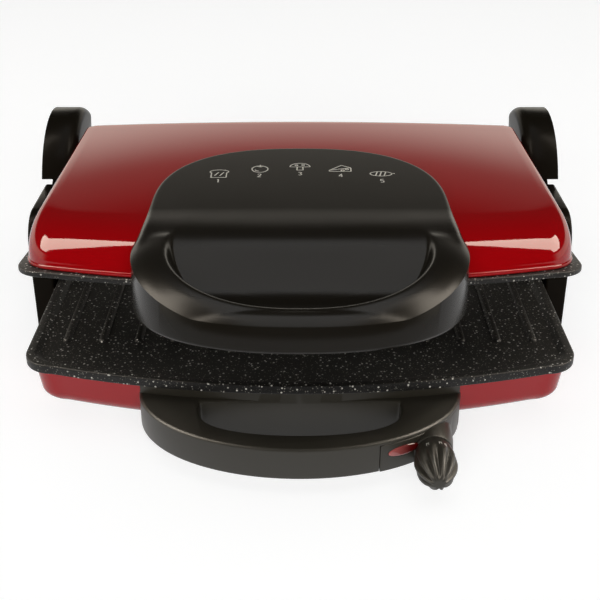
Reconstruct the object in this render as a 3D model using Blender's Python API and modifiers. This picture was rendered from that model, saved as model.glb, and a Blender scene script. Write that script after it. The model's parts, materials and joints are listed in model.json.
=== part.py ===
# Countertop contact grill: a base with two hinge towers, a floating hinge, a sculpted lid and a control knob.
# Metres, +Z up, front towards -Y. The origin is on the table, under the middle of the grill.
# The lid is at rest where a filled sandwich holds it: raised on its slots and tilted up at the front.

import math

import bmesh
import bpy
from mathutils import Matrix, Vector

MM = 0.001

# Fits and clearances
seat_gap = 0.3 * MM
running_gap = 0.6 * MM
cut_overrun = 2.0 * MM
weld = 0.01 * MM

# Grill plates, seen in plan
plate_half_width = 172.0 * MM
plate_length = 209.0 * MM
plate_corner = 19.0 * MM
plate_bow = 23.0 * MM
plate_rear_corner = 30.0 * MM
rim_width = 6.0 * MM
rim_edge = 0.8 * MM
tray_corner = 14.0 * MM
tray_depth = 7.0 * MM
tray_wall = 3.0 * MM
cook_recess = 3.0 * MM
cook_thickness = 4.0 * MM
rib_count = 14
rib_height = 1.8 * MM
rib_foot = 6.0 * MM
rib_crown = 3.0 * MM
rib_front_margin = 34.0 * MM
rib_rear_margin = 14.0 * MM
rib_side_margin = 16.0 * MM
lower_rim = 6.0 * MM
upper_rim = 3.5 * MM
closed_gap = 1.0 * MM

# Floating hinge
axis_y_closed = 137.6 * MM
axis_behind_plate = 12.4 * MM
float_lift = 25.6 * MM
float_back = 6.6 * MM
float_spare = 3.0 * MM
rest_tilt = math.radians(7.0)
rod_radius = 4.0 * MM
bush_radius = 6.0 * MM

# Heights of the base, from the table
rim_top = 49.0 * MM
shell_bottom = 12.0 * MM
leg_bottom = 4.0 * MM

# Base shell
base_side_inset = 3.5 * MM
base_front_inset = 9.0 * MM
base_rear_inset = 12.0 * MM
base_draft = 4.5 * MM
base_round = 12.0 * MM
base_corner = 14.0 * MM
base_wall = 2.5 * MM

# Hinge towers
tower_clearance = 3.0 * MM
tower_width = 15.0 * MM
tower_reach = 123.4 * MM
tower_top = 96.0 * MM
tower_nose = 22.0 * MM
tower_tail = 45.6 * MM
tower_round = 1.5 * MM
head_gap = 3.5 * MM
drop_clearance = 3.0 * MM
notch_below = 12.5 * MM
tower_foot_front = 111.4 * MM
tower_foot_rear = 31.4 * MM
tower_foot_top = 40.0 * MM
tower_foot_reach = 10.0 * MM

# Hinge covers, the black hooks beside the lid
cover_radius = 63.0 * MM
cover_wall = 2.5 * MM
cover_cheek = 2.9 * MM
cover_front_angle = math.radians(26.0)
cover_rear_angle = math.radians(120.0)
cover_round = 1.6 * MM
arm_width = 14.1 * MM
arm_boss = 11.0 * MM
arm_heel = 14.0 * MM
arm_floor = 13.0 * MM
tongue_reach = 18.0 * MM
tongue_front = 46.0 * MM
tongue_rear = 28.0 * MM
tongue_floor = 24.0 * MM
tongue_thickness = 5.0 * MM
lid_boss_radius = 5.0 * MM

# Lid shell; heights are above the parting plane between lid and plate
parting_rise = 8.6 * MM
rim_above_parting = 0.5 * MM
lid_side_inset = 5.0 * MM
lid_front_inset = 1.8 * MM
lid_rear_inset = 4.0 * MM
lid_corner = 24.0 * MM
lid_wall = 2.2 * MM
lid_nose = 34.0 * MM
lid_side_round = 6.5 * MM
lid_rear_round = 12.0 * MM
lid_rear_corner = 16.0 * MM
lid_front_height = 24.0 * MM
lid_top_slope = 0.11
lid_crown = 3.5 * MM
lid_fullness = 2.7
lid_crown_shares = (2 / 3, 1 / 3)
lid_bow_share = 1 / 3
lid_waist = 8.0 * MM
waist_front = 84.0 * MM
waist_rear = 56.0 * MM
waist_steps = 5

# Lid handle; places are measured from the line through the plate's front corner points
grip_half_width = 98.0 * MM
grip_front = 108.0 * MM
grip_centre = 25.0 * MM
grip_bottom = 15.0 * MM
hood_half_width = 96.0 * MM
hood_centre = 30.0 * MM
hood_rear = 126.0 * MM
hood_fullness = 2.35
hood_bend = 8.0 * MM
hood_bend_height = 31.3 * MM
scoop_front = 90.0 * MM
scoop_floor = -1.5 * MM
hood_edge = 7.0 * MM
hood_rear_edge = 2.5 * MM
hood_skin = 2.2 * MM
crest_inset = 11.5 * MM
crest_front_height = 5.5 * MM
crest_side_height = 22.5 * MM
crest_side = 15.0 * MM
crest_drop = 5.0 * MM
crest_inner = 19.0 * MM
crest_foot = 16.0 * MM
crest_power = 2.1
crest_shares = (0.25, 0.5, 0.75, 1.0, 1.4)
scoop_shares = (0.8, 0.64, 0.52, 0.4, 0.2)
blend = 3.0 * MM
grip_wall = 4.0 * MM
grip_pocket = 6.0 * MM
grip_cover = 2.0 * MM

# Lower handle and its controls; places are measured from the same line on the lower plate
handle_half_width = 99.0 * MM
handle_front = 86.0 * MM
handle_root = 20.0 * MM
handle_back = 8.0 * MM
handle_top = 34.0 * MM
handle_bottom = 13.0 * MM
handle_round = 2.0 * MM
finger_side = 38.2 * MM
finger_front = 70.4 * MM
finger_rear = 34.8 * MM
finger_fullness = 0.55
finger_wall = 4.0 * MM
finger_wall_bottom = 6.0 * MM
upstand_thickness = 1.8 * MM
upstand_set_in = 1.0 * MM
panel_margin = 2.0 * MM
panel_width = 51.0 * MM
panel_depth = 6.0 * MM
panel_lip = 2.4 * MM
panel_round = 0.8 * MM
knob_side = 21.0 * MM
knob_z = 20.5 * MM
collar_radius = 11.5 * MM
collar_reach = 8.4 * MM
collar_flare = 2.0 * MM
collar_edge = 0.8 * MM
knob_length = 30.0 * MM
knob_radius = 12.6 * MM
knob_flutes = 10
knob_flute_share = 0.2
knob_flute_start_share = 0.5
knob_tip_share = 1.01
knob_profile_shares = ((0.0, 0.86), (0.12, 0.91), (0.26, 0.97), (0.40, 1.0), (0.54, 0.96), (0.68, 0.85),
                       (0.82, 0.67), (0.93, 0.48), (1.0, 0.3))
shaft_radius = 3.0 * MM
thermostat_half = 7.4 * MM
thermostat_shift = 3.5 * MM
thermostat_centre = 37.4 * MM
thermostat_height = 14.5 * MM
pocket_half = 8.0 * MM
pocket_skin = 4.0 * MM
lens_shift = 17.6 * MM
lens_z = 24.6 * MM
lens_half_width = 9.5 * MM
lens_half_height = 3.2 * MM
lens_thickness = 3.0 * MM
lens_proud = 0.6 * MM
lamp_radius = 2.5 * MM
lamp_length = 4.0 * MM

# Inside the base
element_radius = 3.3 * MM
element_half_width = 118.0 * MM
element_front = 26.0 * MM
element_rear_margin = 41.0 * MM
element_bend = 18.0 * MM
element_tail = 14.0 * MM
reflector_sheet = 1.0 * MM
reflector_half_width = 136.0 * MM
reflector_front = 6.0 * MM
reflector_rear_margin = 43.0 * MM
reflector_corner = 24.0 * MM
floor_sheet = 3.0 * MM
vent_count = 4
vent_first = 24.0 * MM
vent_pitch = 14.0 * MM
vent_width = 5.0 * MM
vent_front = 80.0 * MM
vent_rear = 130.0 * MM
leg_radius = 9.0 * MM
leg_inset = 52.0 * MM
leg_y = 30.0 * MM
foot_radius = 8.0 * MM
foot_taper = 1.5 * MM
foot_edge = 1.0 * MM
rear_foot_radius = 6.5 * MM
rear_foot_back = 24.0 * MM
post_radius = 4.0 * MM
post_x = 90.0 * MM
post_front = 40.0 * MM
post_rear_margin = 59.0 * MM
terminal_length = 34.0 * MM
terminal_width = 11.0 * MM
terminal_height = 9.0 * MM
terminal_slot_share = 2 / 3
terminal_rear_margin = 34.0 * MM
slot_width = 1.5 * MM
slot_depth = 3.0 * MM
fuse_radius = 1.4 * MM
fuse_length = 26.0 * MM
fuse_y = 60.0 * MM
gland_x = 60.0 * MM
gland_radius = 4.5 * MM
gland_flange = 7.0 * MM
gland_flange_thickness = 2.0 * MM
gland_tail = 9.0 * MM

# Places that follow from the sizes above
axis_setback = plate_length + axis_behind_plate
plate_y = axis_y_closed - axis_setback
leg_x = plate_half_width - leg_inset
finger_half_width = handle_half_width - finger_side
panel_end = handle_half_width - panel_margin
panel_start = panel_end - panel_width
knob_x = handle_half_width - knob_side
collar_back = (handle_front - handle_root) * math.sqrt(1 - (knob_x / handle_half_width) ** 2)
collar_front = handle_root + collar_back + collar_reach
lens_x = knob_x - lens_shift
thermostat_x = knob_x - thermostat_shift
tray_inset = base_rear_inset + base_draft / 2 + base_wall + running_gap
rim_bottom = rim_top - lower_rim
upper_rim_bottom = parting_rise + rim_above_parting - upper_rim
axis_z_closed = rim_top + closed_gap - upper_rim_bottom
axis_y = axis_y_closed + float_back
axis_z = axis_z_closed + float_lift
lid_y = -axis_setback
lid_bottom = parting_rise + rim_above_parting + seat_gap
tower_inner = plate_half_width + tower_clearance
tower_outer = tower_inner + tower_width
arm_outer = tower_inner - running_gap
arm_inner = arm_outer - arm_width
cheek_inner = tower_outer + running_gap
cheek_outer = cheek_inner + cover_cheek
tray_bottom = rim_bottom - tray_depth
element_z = rim_top - cook_recess - cook_thickness - seat_gap - element_radius
reflector_top = element_z - element_radius - seat_gap
base_top = rim_bottom - seat_gap
gland_z = tray_bottom - running_gap - gland_radius

for leftover in list(bpy.data.objects):
    bpy.data.objects.remove(leftover)

parts = bpy.data.collections.new("contact_grill")
bpy.context.scene.collection.children.link(parts)
cutters = bpy.data.collections.new("cutters")
bpy.context.scene.collection.children.link(cutters)


def linear(level):
    if level <= 0.04045:
        return level / 12.92
    return ((level + 0.055) / 1.055) ** 2.4


def material(name, red, green, blue, roughness, metallic=0.0):
    made = bpy.data.materials.new(name)
    made.use_nodes = True
    shader = made.node_tree.nodes["Principled BSDF"]
    colour = [linear(level / 255) for level in (red, green, blue)]
    shader.inputs["Base Color"].default_value = (*colour, 1.0)
    shader.inputs["Roughness"].default_value = roughness
    shader.inputs["Metallic"].default_value = metallic
    return made


red_enamel = material("red_enamel", 150, 8, 22, 0.18)
black_plastic = material("black_plastic", 38, 36, 33, 0.5)
granite_coating = material("granite_coating", 28, 28, 28, 0.45)
bare_steel = material("bare_steel", 170, 170, 172, 0.35, 1.0)
aluminium_sheet = material("aluminium_sheet", 200, 202, 205, 0.3, 1.0)
red_lens = material("red_lens", 120, 24, 26, 0.15)
foot_rubber = material("foot_rubber", 30, 30, 30, 0.85)
ceramic = material("ceramic", 225, 220, 208, 0.6)


def empty(name, place, parent=None, turn=0.0):
    made = bpy.data.objects.new(name, None)
    made.location = place
    made.rotation_euler.x = turn
    made.parent = parent
    parts.objects.link(made)
    return made


lid_axis = empty("lid_axis", (0, axis_y, axis_z), turn=-rest_tilt)
carriage_axis = empty("carriage_axis", (0, axis_y, axis_z))
knob_axis = empty("knob_axis", (knob_x, plate_y - collar_front, knob_z))


def add_object(name, mesh, surface=None, parent=None, cutter=False):
    """Puts a mesh in the scene as a named piece, or as a hidden guide that cuts or joins."""
    made = bpy.data.objects.new(name, mesh)
    made.parent = parent
    if cutter:
        made.hide_render = True
        made.display_type = "WIRE"
        cutters.objects.link(made)
    else:
        parts.objects.link(made)
    if surface:
        mesh.materials.append(surface)
        mesh.shade_smooth()
        mesh.set_sharp_from_angle(angle=math.radians(35))
    return made


def loft(name, sections, first=None, last=None, ring=False):
    """Skins a row of sections with equal point counts; each end closes on a point, or flat."""
    bm = bmesh.new()
    rows = [[bm.verts.new(point) for point in section] for section in sections]
    count = len(rows[0])
    pairs = list(zip(rows, rows[1:]))
    if ring:
        pairs.append((rows[-1], rows[0]))
    for low, high in pairs:
        for i in range(count):
            j = (i + 1) % count
            bm.faces.new((low[i], low[j], high[j], high[i]))
    if not ring:
        for row, tip, turned in ((rows[0], first, True), (rows[-1], last, False)):
            order = row[::-1] if turned else row
            if tip is None:
                bm.faces.new(order)
                continue
            peak = bm.verts.new(tip)
            for i in range(count):
                bm.faces.new((order[i], order[(i + 1) % count], peak))
    bmesh.ops.recalc_face_normals(bm, faces=bm.faces)
    mesh = bpy.data.meshes.new(name)
    bm.to_mesh(mesh)
    bm.free()
    return mesh


def as_mesh(guide):
    """Turns a curve object into a welded mesh in the curve's own place, and removes the curve."""
    parts.objects.link(guide)
    bpy.context.view_layer.update()
    mesh = bpy.data.meshes.new_from_object(guide.evaluated_get(bpy.context.evaluated_depsgraph_get()))
    mesh.transform(guide.matrix_world)
    bm = bmesh.new()
    bm.from_mesh(mesh)
    bmesh.ops.remove_doubles(bm, verts=bm.verts, dist=weld)
    bmesh.ops.recalc_face_normals(bm, faces=bm.faces)
    bm.to_mesh(mesh)
    bm.free()
    curve = guide.data
    bpy.data.objects.remove(guide)
    bpy.data.curves.remove(curve)
    mesh.materials.clear()
    return mesh


# Local axes of a flat outline for each way that it can be extruded
facing = {
    "Z": Matrix(((1, 0, 0), (0, 1, 0), (0, 0, 1))),
    "X": Matrix(((0, 0, 1), (1, 0, 0), (0, 1, 0))),
    "Y": Matrix(((1, 0, 0), (0, 0, -1), (0, 1, 0))),
}


def slab(name, outlines, start, end, along="Z"):
    """A flat outline, with any holes, extruded between two places along one axis."""
    curve = bpy.data.curves.new(name, "CURVE")
    curve.dimensions = "2D"
    curve.fill_mode = "BOTH"
    curve.extrude = abs(end - start) / 2
    for outline in outlines:
        spline = curve.splines.new("POLY")
        spline.points.add(len(outline) - 1)
        for point, (a, b) in zip(spline.points, outline):
            point.co = (a, b, 0, 1)
        spline.use_cyclic_u = True
    guide = bpy.data.objects.new(name, curve)
    middle = (start + end) / 2
    place = Vector([middle if axis == along else 0 for axis in "XYZ"])
    guide.matrix_world = Matrix.Translation(place) @ facing[along].to_4x4()
    return as_mesh(guide)


def tube(name, points, radius, resolution=2):
    """A round bar or tube along a row of points, with closed ends."""
    curve = bpy.data.curves.new(name, "CURVE")
    curve.dimensions = "3D"
    curve.bevel_depth = radius
    curve.bevel_resolution = resolution
    curve.use_fill_caps = True
    spline = curve.splines.new("POLY")
    spline.points.add(len(points) - 1)
    for point, place in zip(spline.points, points):
        point.co = (*place, 1)
    return as_mesh(bpy.data.objects.new(name, curve))


def soften(piece, width, segments=2, angle=40.0):
    bevel = piece.modifiers.new("edges", "BEVEL")
    bevel.width = width
    bevel.segments = segments
    bevel.limit_method = "ANGLE"
    bevel.angle_limit = math.radians(angle)
    bevel.use_clamp_overlap = True


def shape_with(piece, mesh, operation, name):
    """Cuts a piece by another form, or joins the two into one body."""
    guide = add_object(name, mesh, parent=piece.parent, cutter=True)
    change = piece.modifiers.new(name, "BOOLEAN")
    change.object = guide
    change.operation = operation
    change.solver = "EXACT"


def cut(piece, mesh, name):
    shape_with(piece, mesh, "DIFFERENCE", piece.name + "_" + name)


def join(piece, mesh, name):
    shape_with(piece, mesh, "UNION", piece.name + "_" + name)


def arc(centre_a, centre_b, radius, start, end, steps):
    """Points along an arc, angles in degrees."""
    angles = [math.radians(start + (end - start) * i / steps) for i in range(steps + 1)]
    return [(centre_a + radius * math.cos(a), centre_b + radius * math.sin(a)) for a in angles]


def plan(half_width, front, rear, corner, rear_corner, bow):
    """A plate's outline from above: a bowed front edge, small front corners and rounder rear ones."""
    straight = half_width - corner
    bow_steps = 7
    half = []
    for i in range(bow_steps):
        x = straight * i / bow_steps
        half.append((x, front - bow * (1 - (x / straight) ** 2)))
    half += arc(straight, front + corner, corner, -90, 0, 5)
    for share in (1 / 3, 2 / 3):
        half.append((half_width, front + corner + (rear - rear_corner - front - corner) * share))
    half += arc(half_width - rear_corner, rear - rear_corner, rear_corner, 0, 90, 5)
    half.append(((half_width - rear_corner) / 2, rear))
    half.append((0, rear))
    return half + [(-x, y) for x, y in half[-2:0:-1]]


def plate_plan(y, inset):
    """The plates' outline drawn in by an inset, for the rim, the tray and what lines up with them."""
    corner = max(plate_corner - inset, min(tray_corner, plate_corner))
    return plan(plate_half_width - inset, y - plate_corner + inset, y + plate_length - inset, corner,
                max(plate_rear_corner - inset, tray_corner), plate_bow)


def raised(outline, height):
    return [(x, y, height) for x, y in outline]


# Grill plates


def grill_plate(name, y, level, rim, flip, parent=None):
    """A cast plate: a rim, a tray under it, ribs across a recessed cooking face and a hollow back.

    It is drawn with its cooking face up, level with the rim's top, and turned over for the lid."""
    under = level - rim
    sections = [
        raised(plate_plan(y, tray_inset + rim_edge), under - tray_depth),
        raised(plate_plan(y, tray_inset), under - tray_depth + rim_edge),
        raised(plate_plan(y, tray_inset), under),
        raised(plate_plan(y, 0), under),
        raised(plate_plan(y, 0), level - rim_edge),
        raised(plate_plan(y, rim_edge), level),
        raised(plate_plan(y, rim_width - rim_edge), level),
        raised(plate_plan(y, rim_width + cook_recess), level - cook_recess),
    ]
    plate = add_object(name, loft(name, sections), granite_coating, parent)
    ribs = bmesh.new()
    reach = plate_half_width - rim_width - rib_side_margin
    front = y + rib_front_margin - plate_corner
    rear = y + plate_length - rim_width - rib_rear_margin
    foot = level - cook_recess - rim_edge
    crown = level - cook_recess + rib_height
    for i in range(rib_count):
        x = -reach + 2 * reach * i / (rib_count - 1)
        profile = ((-rib_foot / 2, foot), (rib_foot / 2, foot), (rib_crown / 2, crown),
                   (-rib_crown / 2, crown))
        near = [ribs.verts.new((x + a, front + (b - foot), b)) for a, b in profile]
        far = [ribs.verts.new((x + a, rear - (b - foot), b)) for a, b in profile]
        ribs.faces.new(near)
        ribs.faces.new(far[::-1])
        for j in range(4):
            k = (j + 1) % 4
            ribs.faces.new((near[k], near[j], far[j], far[k]))
    bmesh.ops.recalc_face_normals(ribs, faces=ribs.faces)
    mesh = bpy.data.meshes.new(name + "_ribs")
    ribs.to_mesh(mesh)
    ribs.free()
    back = slab(name + "_back", [plate_plan(y, tray_inset + tray_wall)], under - tray_depth - cut_overrun,
                level - cook_recess - cook_thickness)
    if flip:
        turn_over = Matrix.Translation((0, 0, 2 * level)) @ Matrix.Rotation(math.pi, 4, "Y")
        shift = Matrix.Translation((0, 0, upper_rim_bottom - level))
        for drawn in (plate.data, mesh, back):
            drawn.transform(shift @ turn_over)
    join(plate, mesh, "ribs")
    cut(plate, back, "back")


def heating_element(name, y, height, parent=None):
    """A tubular element bent into a loop under the plate, both ends brought out at the rear."""
    bend = element_bend
    inner = element_tail
    side = element_half_width
    rear = y + plate_length - element_rear_margin
    front = y + element_front
    half = arc(inner + bend, rear, bend, 180, 270, 3)
    half += arc(side - bend, rear - 2 * bend, bend, 90, 0, 3)
    half += arc(side - bend, front + bend, bend, 0, -90, 3)
    row = half + [(-x, v) for x, v in half[::-1]]
    points = [(x, v, height) for x, v in row]
    return add_object(name, tube(name, points, element_radius), bare_steel, parent)


def reflector(name, y, low, parent=None):
    """A flat aluminium sheet that throws the element's heat back at the plate."""
    outline = plan(reflector_half_width, y + reflector_front, y + plate_length - reflector_rear_margin, reflector_corner,
                   reflector_corner, plate_bow / 2)
    return add_object(name, slab(name, [outline], low, low + reflector_sheet), aluminium_sheet, parent)


# Base


def base_section(share, inset):
    """The base shell's outline at a share of the way round its lower edge, drawn in by an inset."""
    side = base_side_inset + base_draft * share + inset
    front = base_front_inset + base_draft * share + inset
    rear = base_rear_inset + base_draft * share + inset
    return plan(plate_half_width - side, plate_y - plate_corner + front, plate_y + plate_length - rear,
                base_corner, base_corner, plate_bow)


def base_sections(inset, top, bottom):
    """Outlines from the shell's top edge down its drafted wall and round its lower edge."""
    steps = 4
    turn = base_round - inset
    sections = [raised(base_section(0, inset), top)]
    sections.append(raised(base_section(1 / 2, inset), bottom + turn))
    for i in range(1, steps + 1):
        angle = math.pi / 2 * i / steps
        drawn = inset + turn * (1 - math.cos(angle))
        sections.append(raised(base_section(1 / 2, drawn), bottom + turn * (1 - math.sin(angle))))
    return sections


def base_shell():
    outer = base_sections(0, base_top, shell_bottom)
    inner = base_sections(base_wall, base_top, shell_bottom + base_wall)
    shell = add_object("base_shell", loft("base_shell", outer + inner[::-1], ring=True), red_enamel)
    hole = arc(gland_x, gland_z, gland_radius + seat_gap, 0, 360, 16)[:-1]
    wall = plate_y + plate_length - base_rear_inset
    start = wall - base_draft - base_wall - cut_overrun
    cut(shell, slab("gland_hole", [hole], start, wall + cut_overrun, "Y"), "gland_hole")


def floor_outline(gap):
    return base_section(1 / 2, base_round + gap)


def bottom_cover():
    """The black underside: a plate inside the shell's lower lip, two front legs and inner posts."""
    name = "bottom_cover"
    top = shell_bottom + floor_sheet
    cover = add_object(name, slab(name, [floor_outline(seat_gap)], shell_bottom, top), black_plastic)
    for side, label in ((-1, "left"), (1, "right")):
        leg = arc(side * leg_x, plate_y + leg_y, leg_radius, 0, 360, 20)[:-1]
        join(cover, slab("leg", [leg], leg_bottom, top - floor_sheet / 2), label + "_leg")
        for place, end in ((post_front, "front"), (plate_length - post_rear_margin, "rear")):
            post = arc(side * post_x, plate_y + place, post_radius, 0, 360, 12)[:-1]
            low = top - floor_sheet / 2
            high = reflector_top - reflector_sheet - seat_gap
            join(cover, slab("post", [post], low, high), label + "_" + end + "_post")
        for i in range(vent_count):
            x = side * (vent_first + vent_pitch * i)
            vent = [(x - vent_width / 2, plate_y + vent_front), (x + vent_width / 2, plate_y + vent_front),
                    (x + vent_width / 2, plate_y + vent_rear), (x - vent_width / 2, plate_y + vent_rear)]
            low = shell_bottom - cut_overrun
            cut(cover, slab("vent", [vent], low, top + cut_overrun), label + "_vent_" + str(i))


def foot(name, x, y, radius):
    """A rubber pad: a disc that spreads towards the table."""
    low = radius
    high = radius - foot_taper
    sections = []
    for width, height in ((low, 0), (low, foot_edge), (high, leg_bottom - seat_gap)):
        sections.append([(a, b, height) for a, b in arc(x, y, width, 0, 360, 20)[:-1]])
    add_object(name, loft(name, sections), foot_rubber)


def feet():
    for side, label in ((-1, "left"), (1, "right")):
        foot("front_foot_" + label, side * leg_x, plate_y + leg_y, foot_radius)
        middle = (tower_inner + tower_outer) / 2
        foot("rear_foot_" + label, side * middle, axis_y_closed + rear_foot_back, rear_foot_radius)


def base_internals():
    """The terminal block and thermal fuse on the floor, and the gland where a lead leaves the rear wall."""
    floor_top = shell_bottom + floor_sheet
    low = floor_top + seat_gap
    half = terminal_length / 2
    y = plate_y + plate_length - terminal_rear_margin
    block = [(-half, y - terminal_width / 2), (half, y - terminal_width / 2), (half, y + terminal_width / 2),
             (-half, y + terminal_width / 2)]
    piece = add_object("terminal_block", slab("terminal_block", [block], low, low + terminal_height), ceramic)
    for i in range(3):
        x = half * (i - 1) * terminal_slot_share
        slot = [(x - slot_width / 2, y - terminal_width), (x + slot_width / 2, y - terminal_width),
                (x + slot_width / 2, y + terminal_width), (x - slot_width / 2, y + terminal_width)]
        top = low + terminal_height
        cut(piece, slab("slot", [slot], top - slot_depth, top + cut_overrun), "slot_" + str(i))
    y = plate_y + fuse_y
    height = low + fuse_radius
    ends = [(-fuse_length / 2, y, height), (fuse_length / 2, y, height)]
    add_object("thermal_fuse", tube("thermal_fuse", ends, fuse_radius), bare_steel)
    wall = plate_y + plate_length - base_rear_inset
    rows = ((gland_radius, wall - gland_tail), (gland_radius, wall + seat_gap),
            (gland_flange, wall + seat_gap), (gland_flange, wall + seat_gap + gland_flange_thickness),
            (gland_radius, wall + gland_tail))
    sections = []
    for radius, place in rows:
        sections.append([(a, place, b) for a, b in arc(gland_x, gland_z, radius, 0, 360, 16)[:-1]])
    add_object("cord_gland", loft("cord_gland", sections), black_plastic)


# Lower handle and controls


def handle_arc(inset, start, end, steps):
    """Points along the handle's curved front, drawn in by an inset; angles from 180 on the left to 360."""
    half_width = handle_half_width - inset
    depth = handle_front - handle_root - inset
    angles = [math.radians(start + (end - start) * i / steps) for i in range(steps + 1)]
    return [(half_width * math.cos(a), plate_y - handle_root + depth * math.sin(a)) for a in angles]


def arc_angle(x, inset):
    return 360 - math.degrees(math.acos(x / (handle_half_width - inset)))


def base_handle():
    """A D-shaped slab with a finger opening, a wall behind the fingers, and room for panel and thermostat."""
    back = plate_y - handle_back
    outline = [(-handle_half_width, back)] + handle_arc(0, 180, 360, 34) + [(handle_half_width, back)]
    depth = finger_front - finger_rear
    opening = [(-finger_half_width, plate_y - finger_rear)]
    for i in range(1, 16):
        angle = math.pi * i / 16
        reach = math.sin(angle) ** finger_fullness
        opening.append((-finger_half_width * math.cos(angle), plate_y - finger_rear - depth * reach))
    opening.append((finger_half_width, plate_y - finger_rear))
    name = "base_handle"
    handle = add_object(name, slab(name, [outline, opening], handle_bottom, handle_top), black_plastic)
    wall = plate_y - finger_rear
    reach = finger_half_width + finger_wall
    side = [(-reach, wall), (reach, wall), (reach, wall + finger_wall), (-reach, wall + finger_wall)]
    join(handle, slab("wall", [side], finger_wall_bottom, handle_bottom + handle_round), "finger_wall")
    soften(handle, handle_round)
    join(handle, slab("upstand", [upstand_outline(back)], handle_top - handle_round, base_top), "upstand")
    cut(handle, slab("step", [panel_room()], handle_bottom - cut_overrun, handle_top - panel_lip), "panel_step")
    cut(handle, loft("shell_form", base_form_sections()), "shell_form")
    centre_y = plate_y - thermostat_centre
    pocket = square(thermostat_x, centre_y, pocket_half)
    low = handle_bottom - cut_overrun
    cut(handle, slab("pocket", [pocket], low, handle_top - pocket_skin), "pocket")
    bore = arc(knob_x, knob_z, shaft_radius + running_gap, 0, 360, 16)[:-1]
    reach = plate_y - handle_front
    cut(handle, slab("bore", [bore], reach, centre_y, "Y"), "shaft_bore")
    lamp = arc(lens_x, lens_z, lamp_radius + seat_gap, 0, 360, 12)[:-1]
    lamp_rear = lamp_face() + lamp_length + 2 * seat_gap
    cut(handle, slab("lamp_seat", [lamp], reach, lamp_rear, "Y"), "lamp_seat")


def upstand_outline(back):
    """A thin wall from the handle's top up to the plate's rim, along the base shell's bowed front."""
    front = plate_y - plate_corner + base_front_inset - upstand_thickness
    straight = plate_half_width - base_side_inset - base_corner
    half_width = handle_half_width - upstand_set_in
    steps = 12
    outline = []
    for i in range(steps + 1):
        x = half_width * (2 * i / steps - 1)
        outline.append((x, front - plate_bow * (1 - (x / straight) ** 2)))
    return outline + [(half_width, back), (-half_width, back)]


def panel_room():
    """The panel's outline from above with a seat gap round it, carried past the handle's front face."""
    step = panel_depth + seat_gap
    steps = 10
    inner = handle_arc(step, arc_angle(panel_start - seat_gap, step), arc_angle(panel_end - step, step), steps)
    outer = handle_arc(0, arc_angle(panel_start - seat_gap, 0), arc_angle(panel_end + seat_gap, 0), steps)
    past = cut_overrun / panel_depth
    carried = [(x + (x - a) * past, y + (y - b) * past) for (x, y), (a, b) in zip(outer, inner)]
    return inner + carried[::-1]


def base_form_sections():
    """The base shell as a solid, a seat gap larger all round, for what fits against it."""
    rim = raised(base_section(0, -seat_gap), base_top + cut_overrun)
    return [rim] + base_sections(-seat_gap, base_top, shell_bottom - seat_gap)


def square(x, y, half):
    return [(x - half, y - half), (x + half, y - half), (x + half, y + half), (x - half, y + half)]


def panel_face(x, inset=0.0):
    """How far forward the handle's curved front lies at a place across it."""
    depth = handle_front - handle_root - inset
    return plate_y - handle_root - depth * math.sqrt(1 - (x / (handle_half_width - inset)) ** 2)


def lamp_face():
    """The highest part of the panel's rear face beside the lamp."""
    return panel_face(lens_x + lamp_radius, panel_depth) + seat_gap


def control_panel():
    """The front right part of the handle: a curved fascia with a collar for the knob."""
    name = "control_panel"
    outline = handle_arc(0, arc_angle(panel_start, 0), arc_angle(panel_end, 0), 10)
    inner_end = panel_end - panel_depth
    first, last = arc_angle(inner_end, panel_depth), arc_angle(panel_start, panel_depth)
    outline += handle_arc(panel_depth, first, last, 10)
    top = handle_top - panel_lip - seat_gap
    panel = add_object(name, slab(name, [outline], handle_bottom, top), black_plastic)
    soften(panel, panel_round)
    rear = panel_face(knob_x + collar_radius, panel_depth)
    face = plate_y - collar_front
    sections = []
    for radius, place in ((collar_radius + collar_flare, rear), (collar_radius, face + collar_edge),
                          (collar_radius - collar_edge, face)):
        sections.append([(a, place, b) for a, b in arc(knob_x, knob_z, radius, 0, 360, 28)[:-1]])
    join(panel, loft("collar", sections), "collar")
    lip = slab("lip", [handle_arc(-seat_gap, 180, 360, 34)], top, knob_z + 2 * collar_radius)
    cut(panel, lip, "lip")
    core = handle_arc(panel_depth, 180, 360, 40)
    cut(panel, slab("core", [core], knob_z - 2 * collar_radius, knob_z + 2 * collar_radius), "core")
    bore = arc(knob_x, knob_z, shaft_radius + running_gap, 0, 360, 16)[:-1]
    far = plate_y - handle_root
    cut(panel, slab("bore", [bore], face - cut_overrun, far, "Y"), "shaft_bore")
    cut(panel, slab("window", [lens_outline(seat_gap)], plate_y - handle_front, far, "Y"), "window")


def lens_outline(gap):
    turns = 20
    points = []
    for i in range(turns):
        angle = 2 * math.pi * i / turns
        points.append((lens_x + (lens_half_width + gap) * math.cos(angle),
                       lens_z + (lens_half_height + gap) * math.sin(angle)))
    return points


def indicator_lens():
    """An oval red lens that follows the curve of the panel and stands a little proud of it."""
    rows = []
    for depth, shrink in ((lens_thickness, 0), (0, 0), (-lens_proud, lens_proud)):
        row = []
        for x, z in lens_outline(-shrink):
            row.append((x, panel_face(x) + depth, z))
        rows.append(row)
    add_object("indicator_lens", loft("indicator_lens", rows), red_lens)
    start = lamp_face() + seat_gap
    ends = [(lens_x, start, lens_z), (lens_x, start + lamp_length, lens_z)]
    add_object("neon_lamp", tube("neon_lamp", ends, lamp_radius), ceramic)


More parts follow.
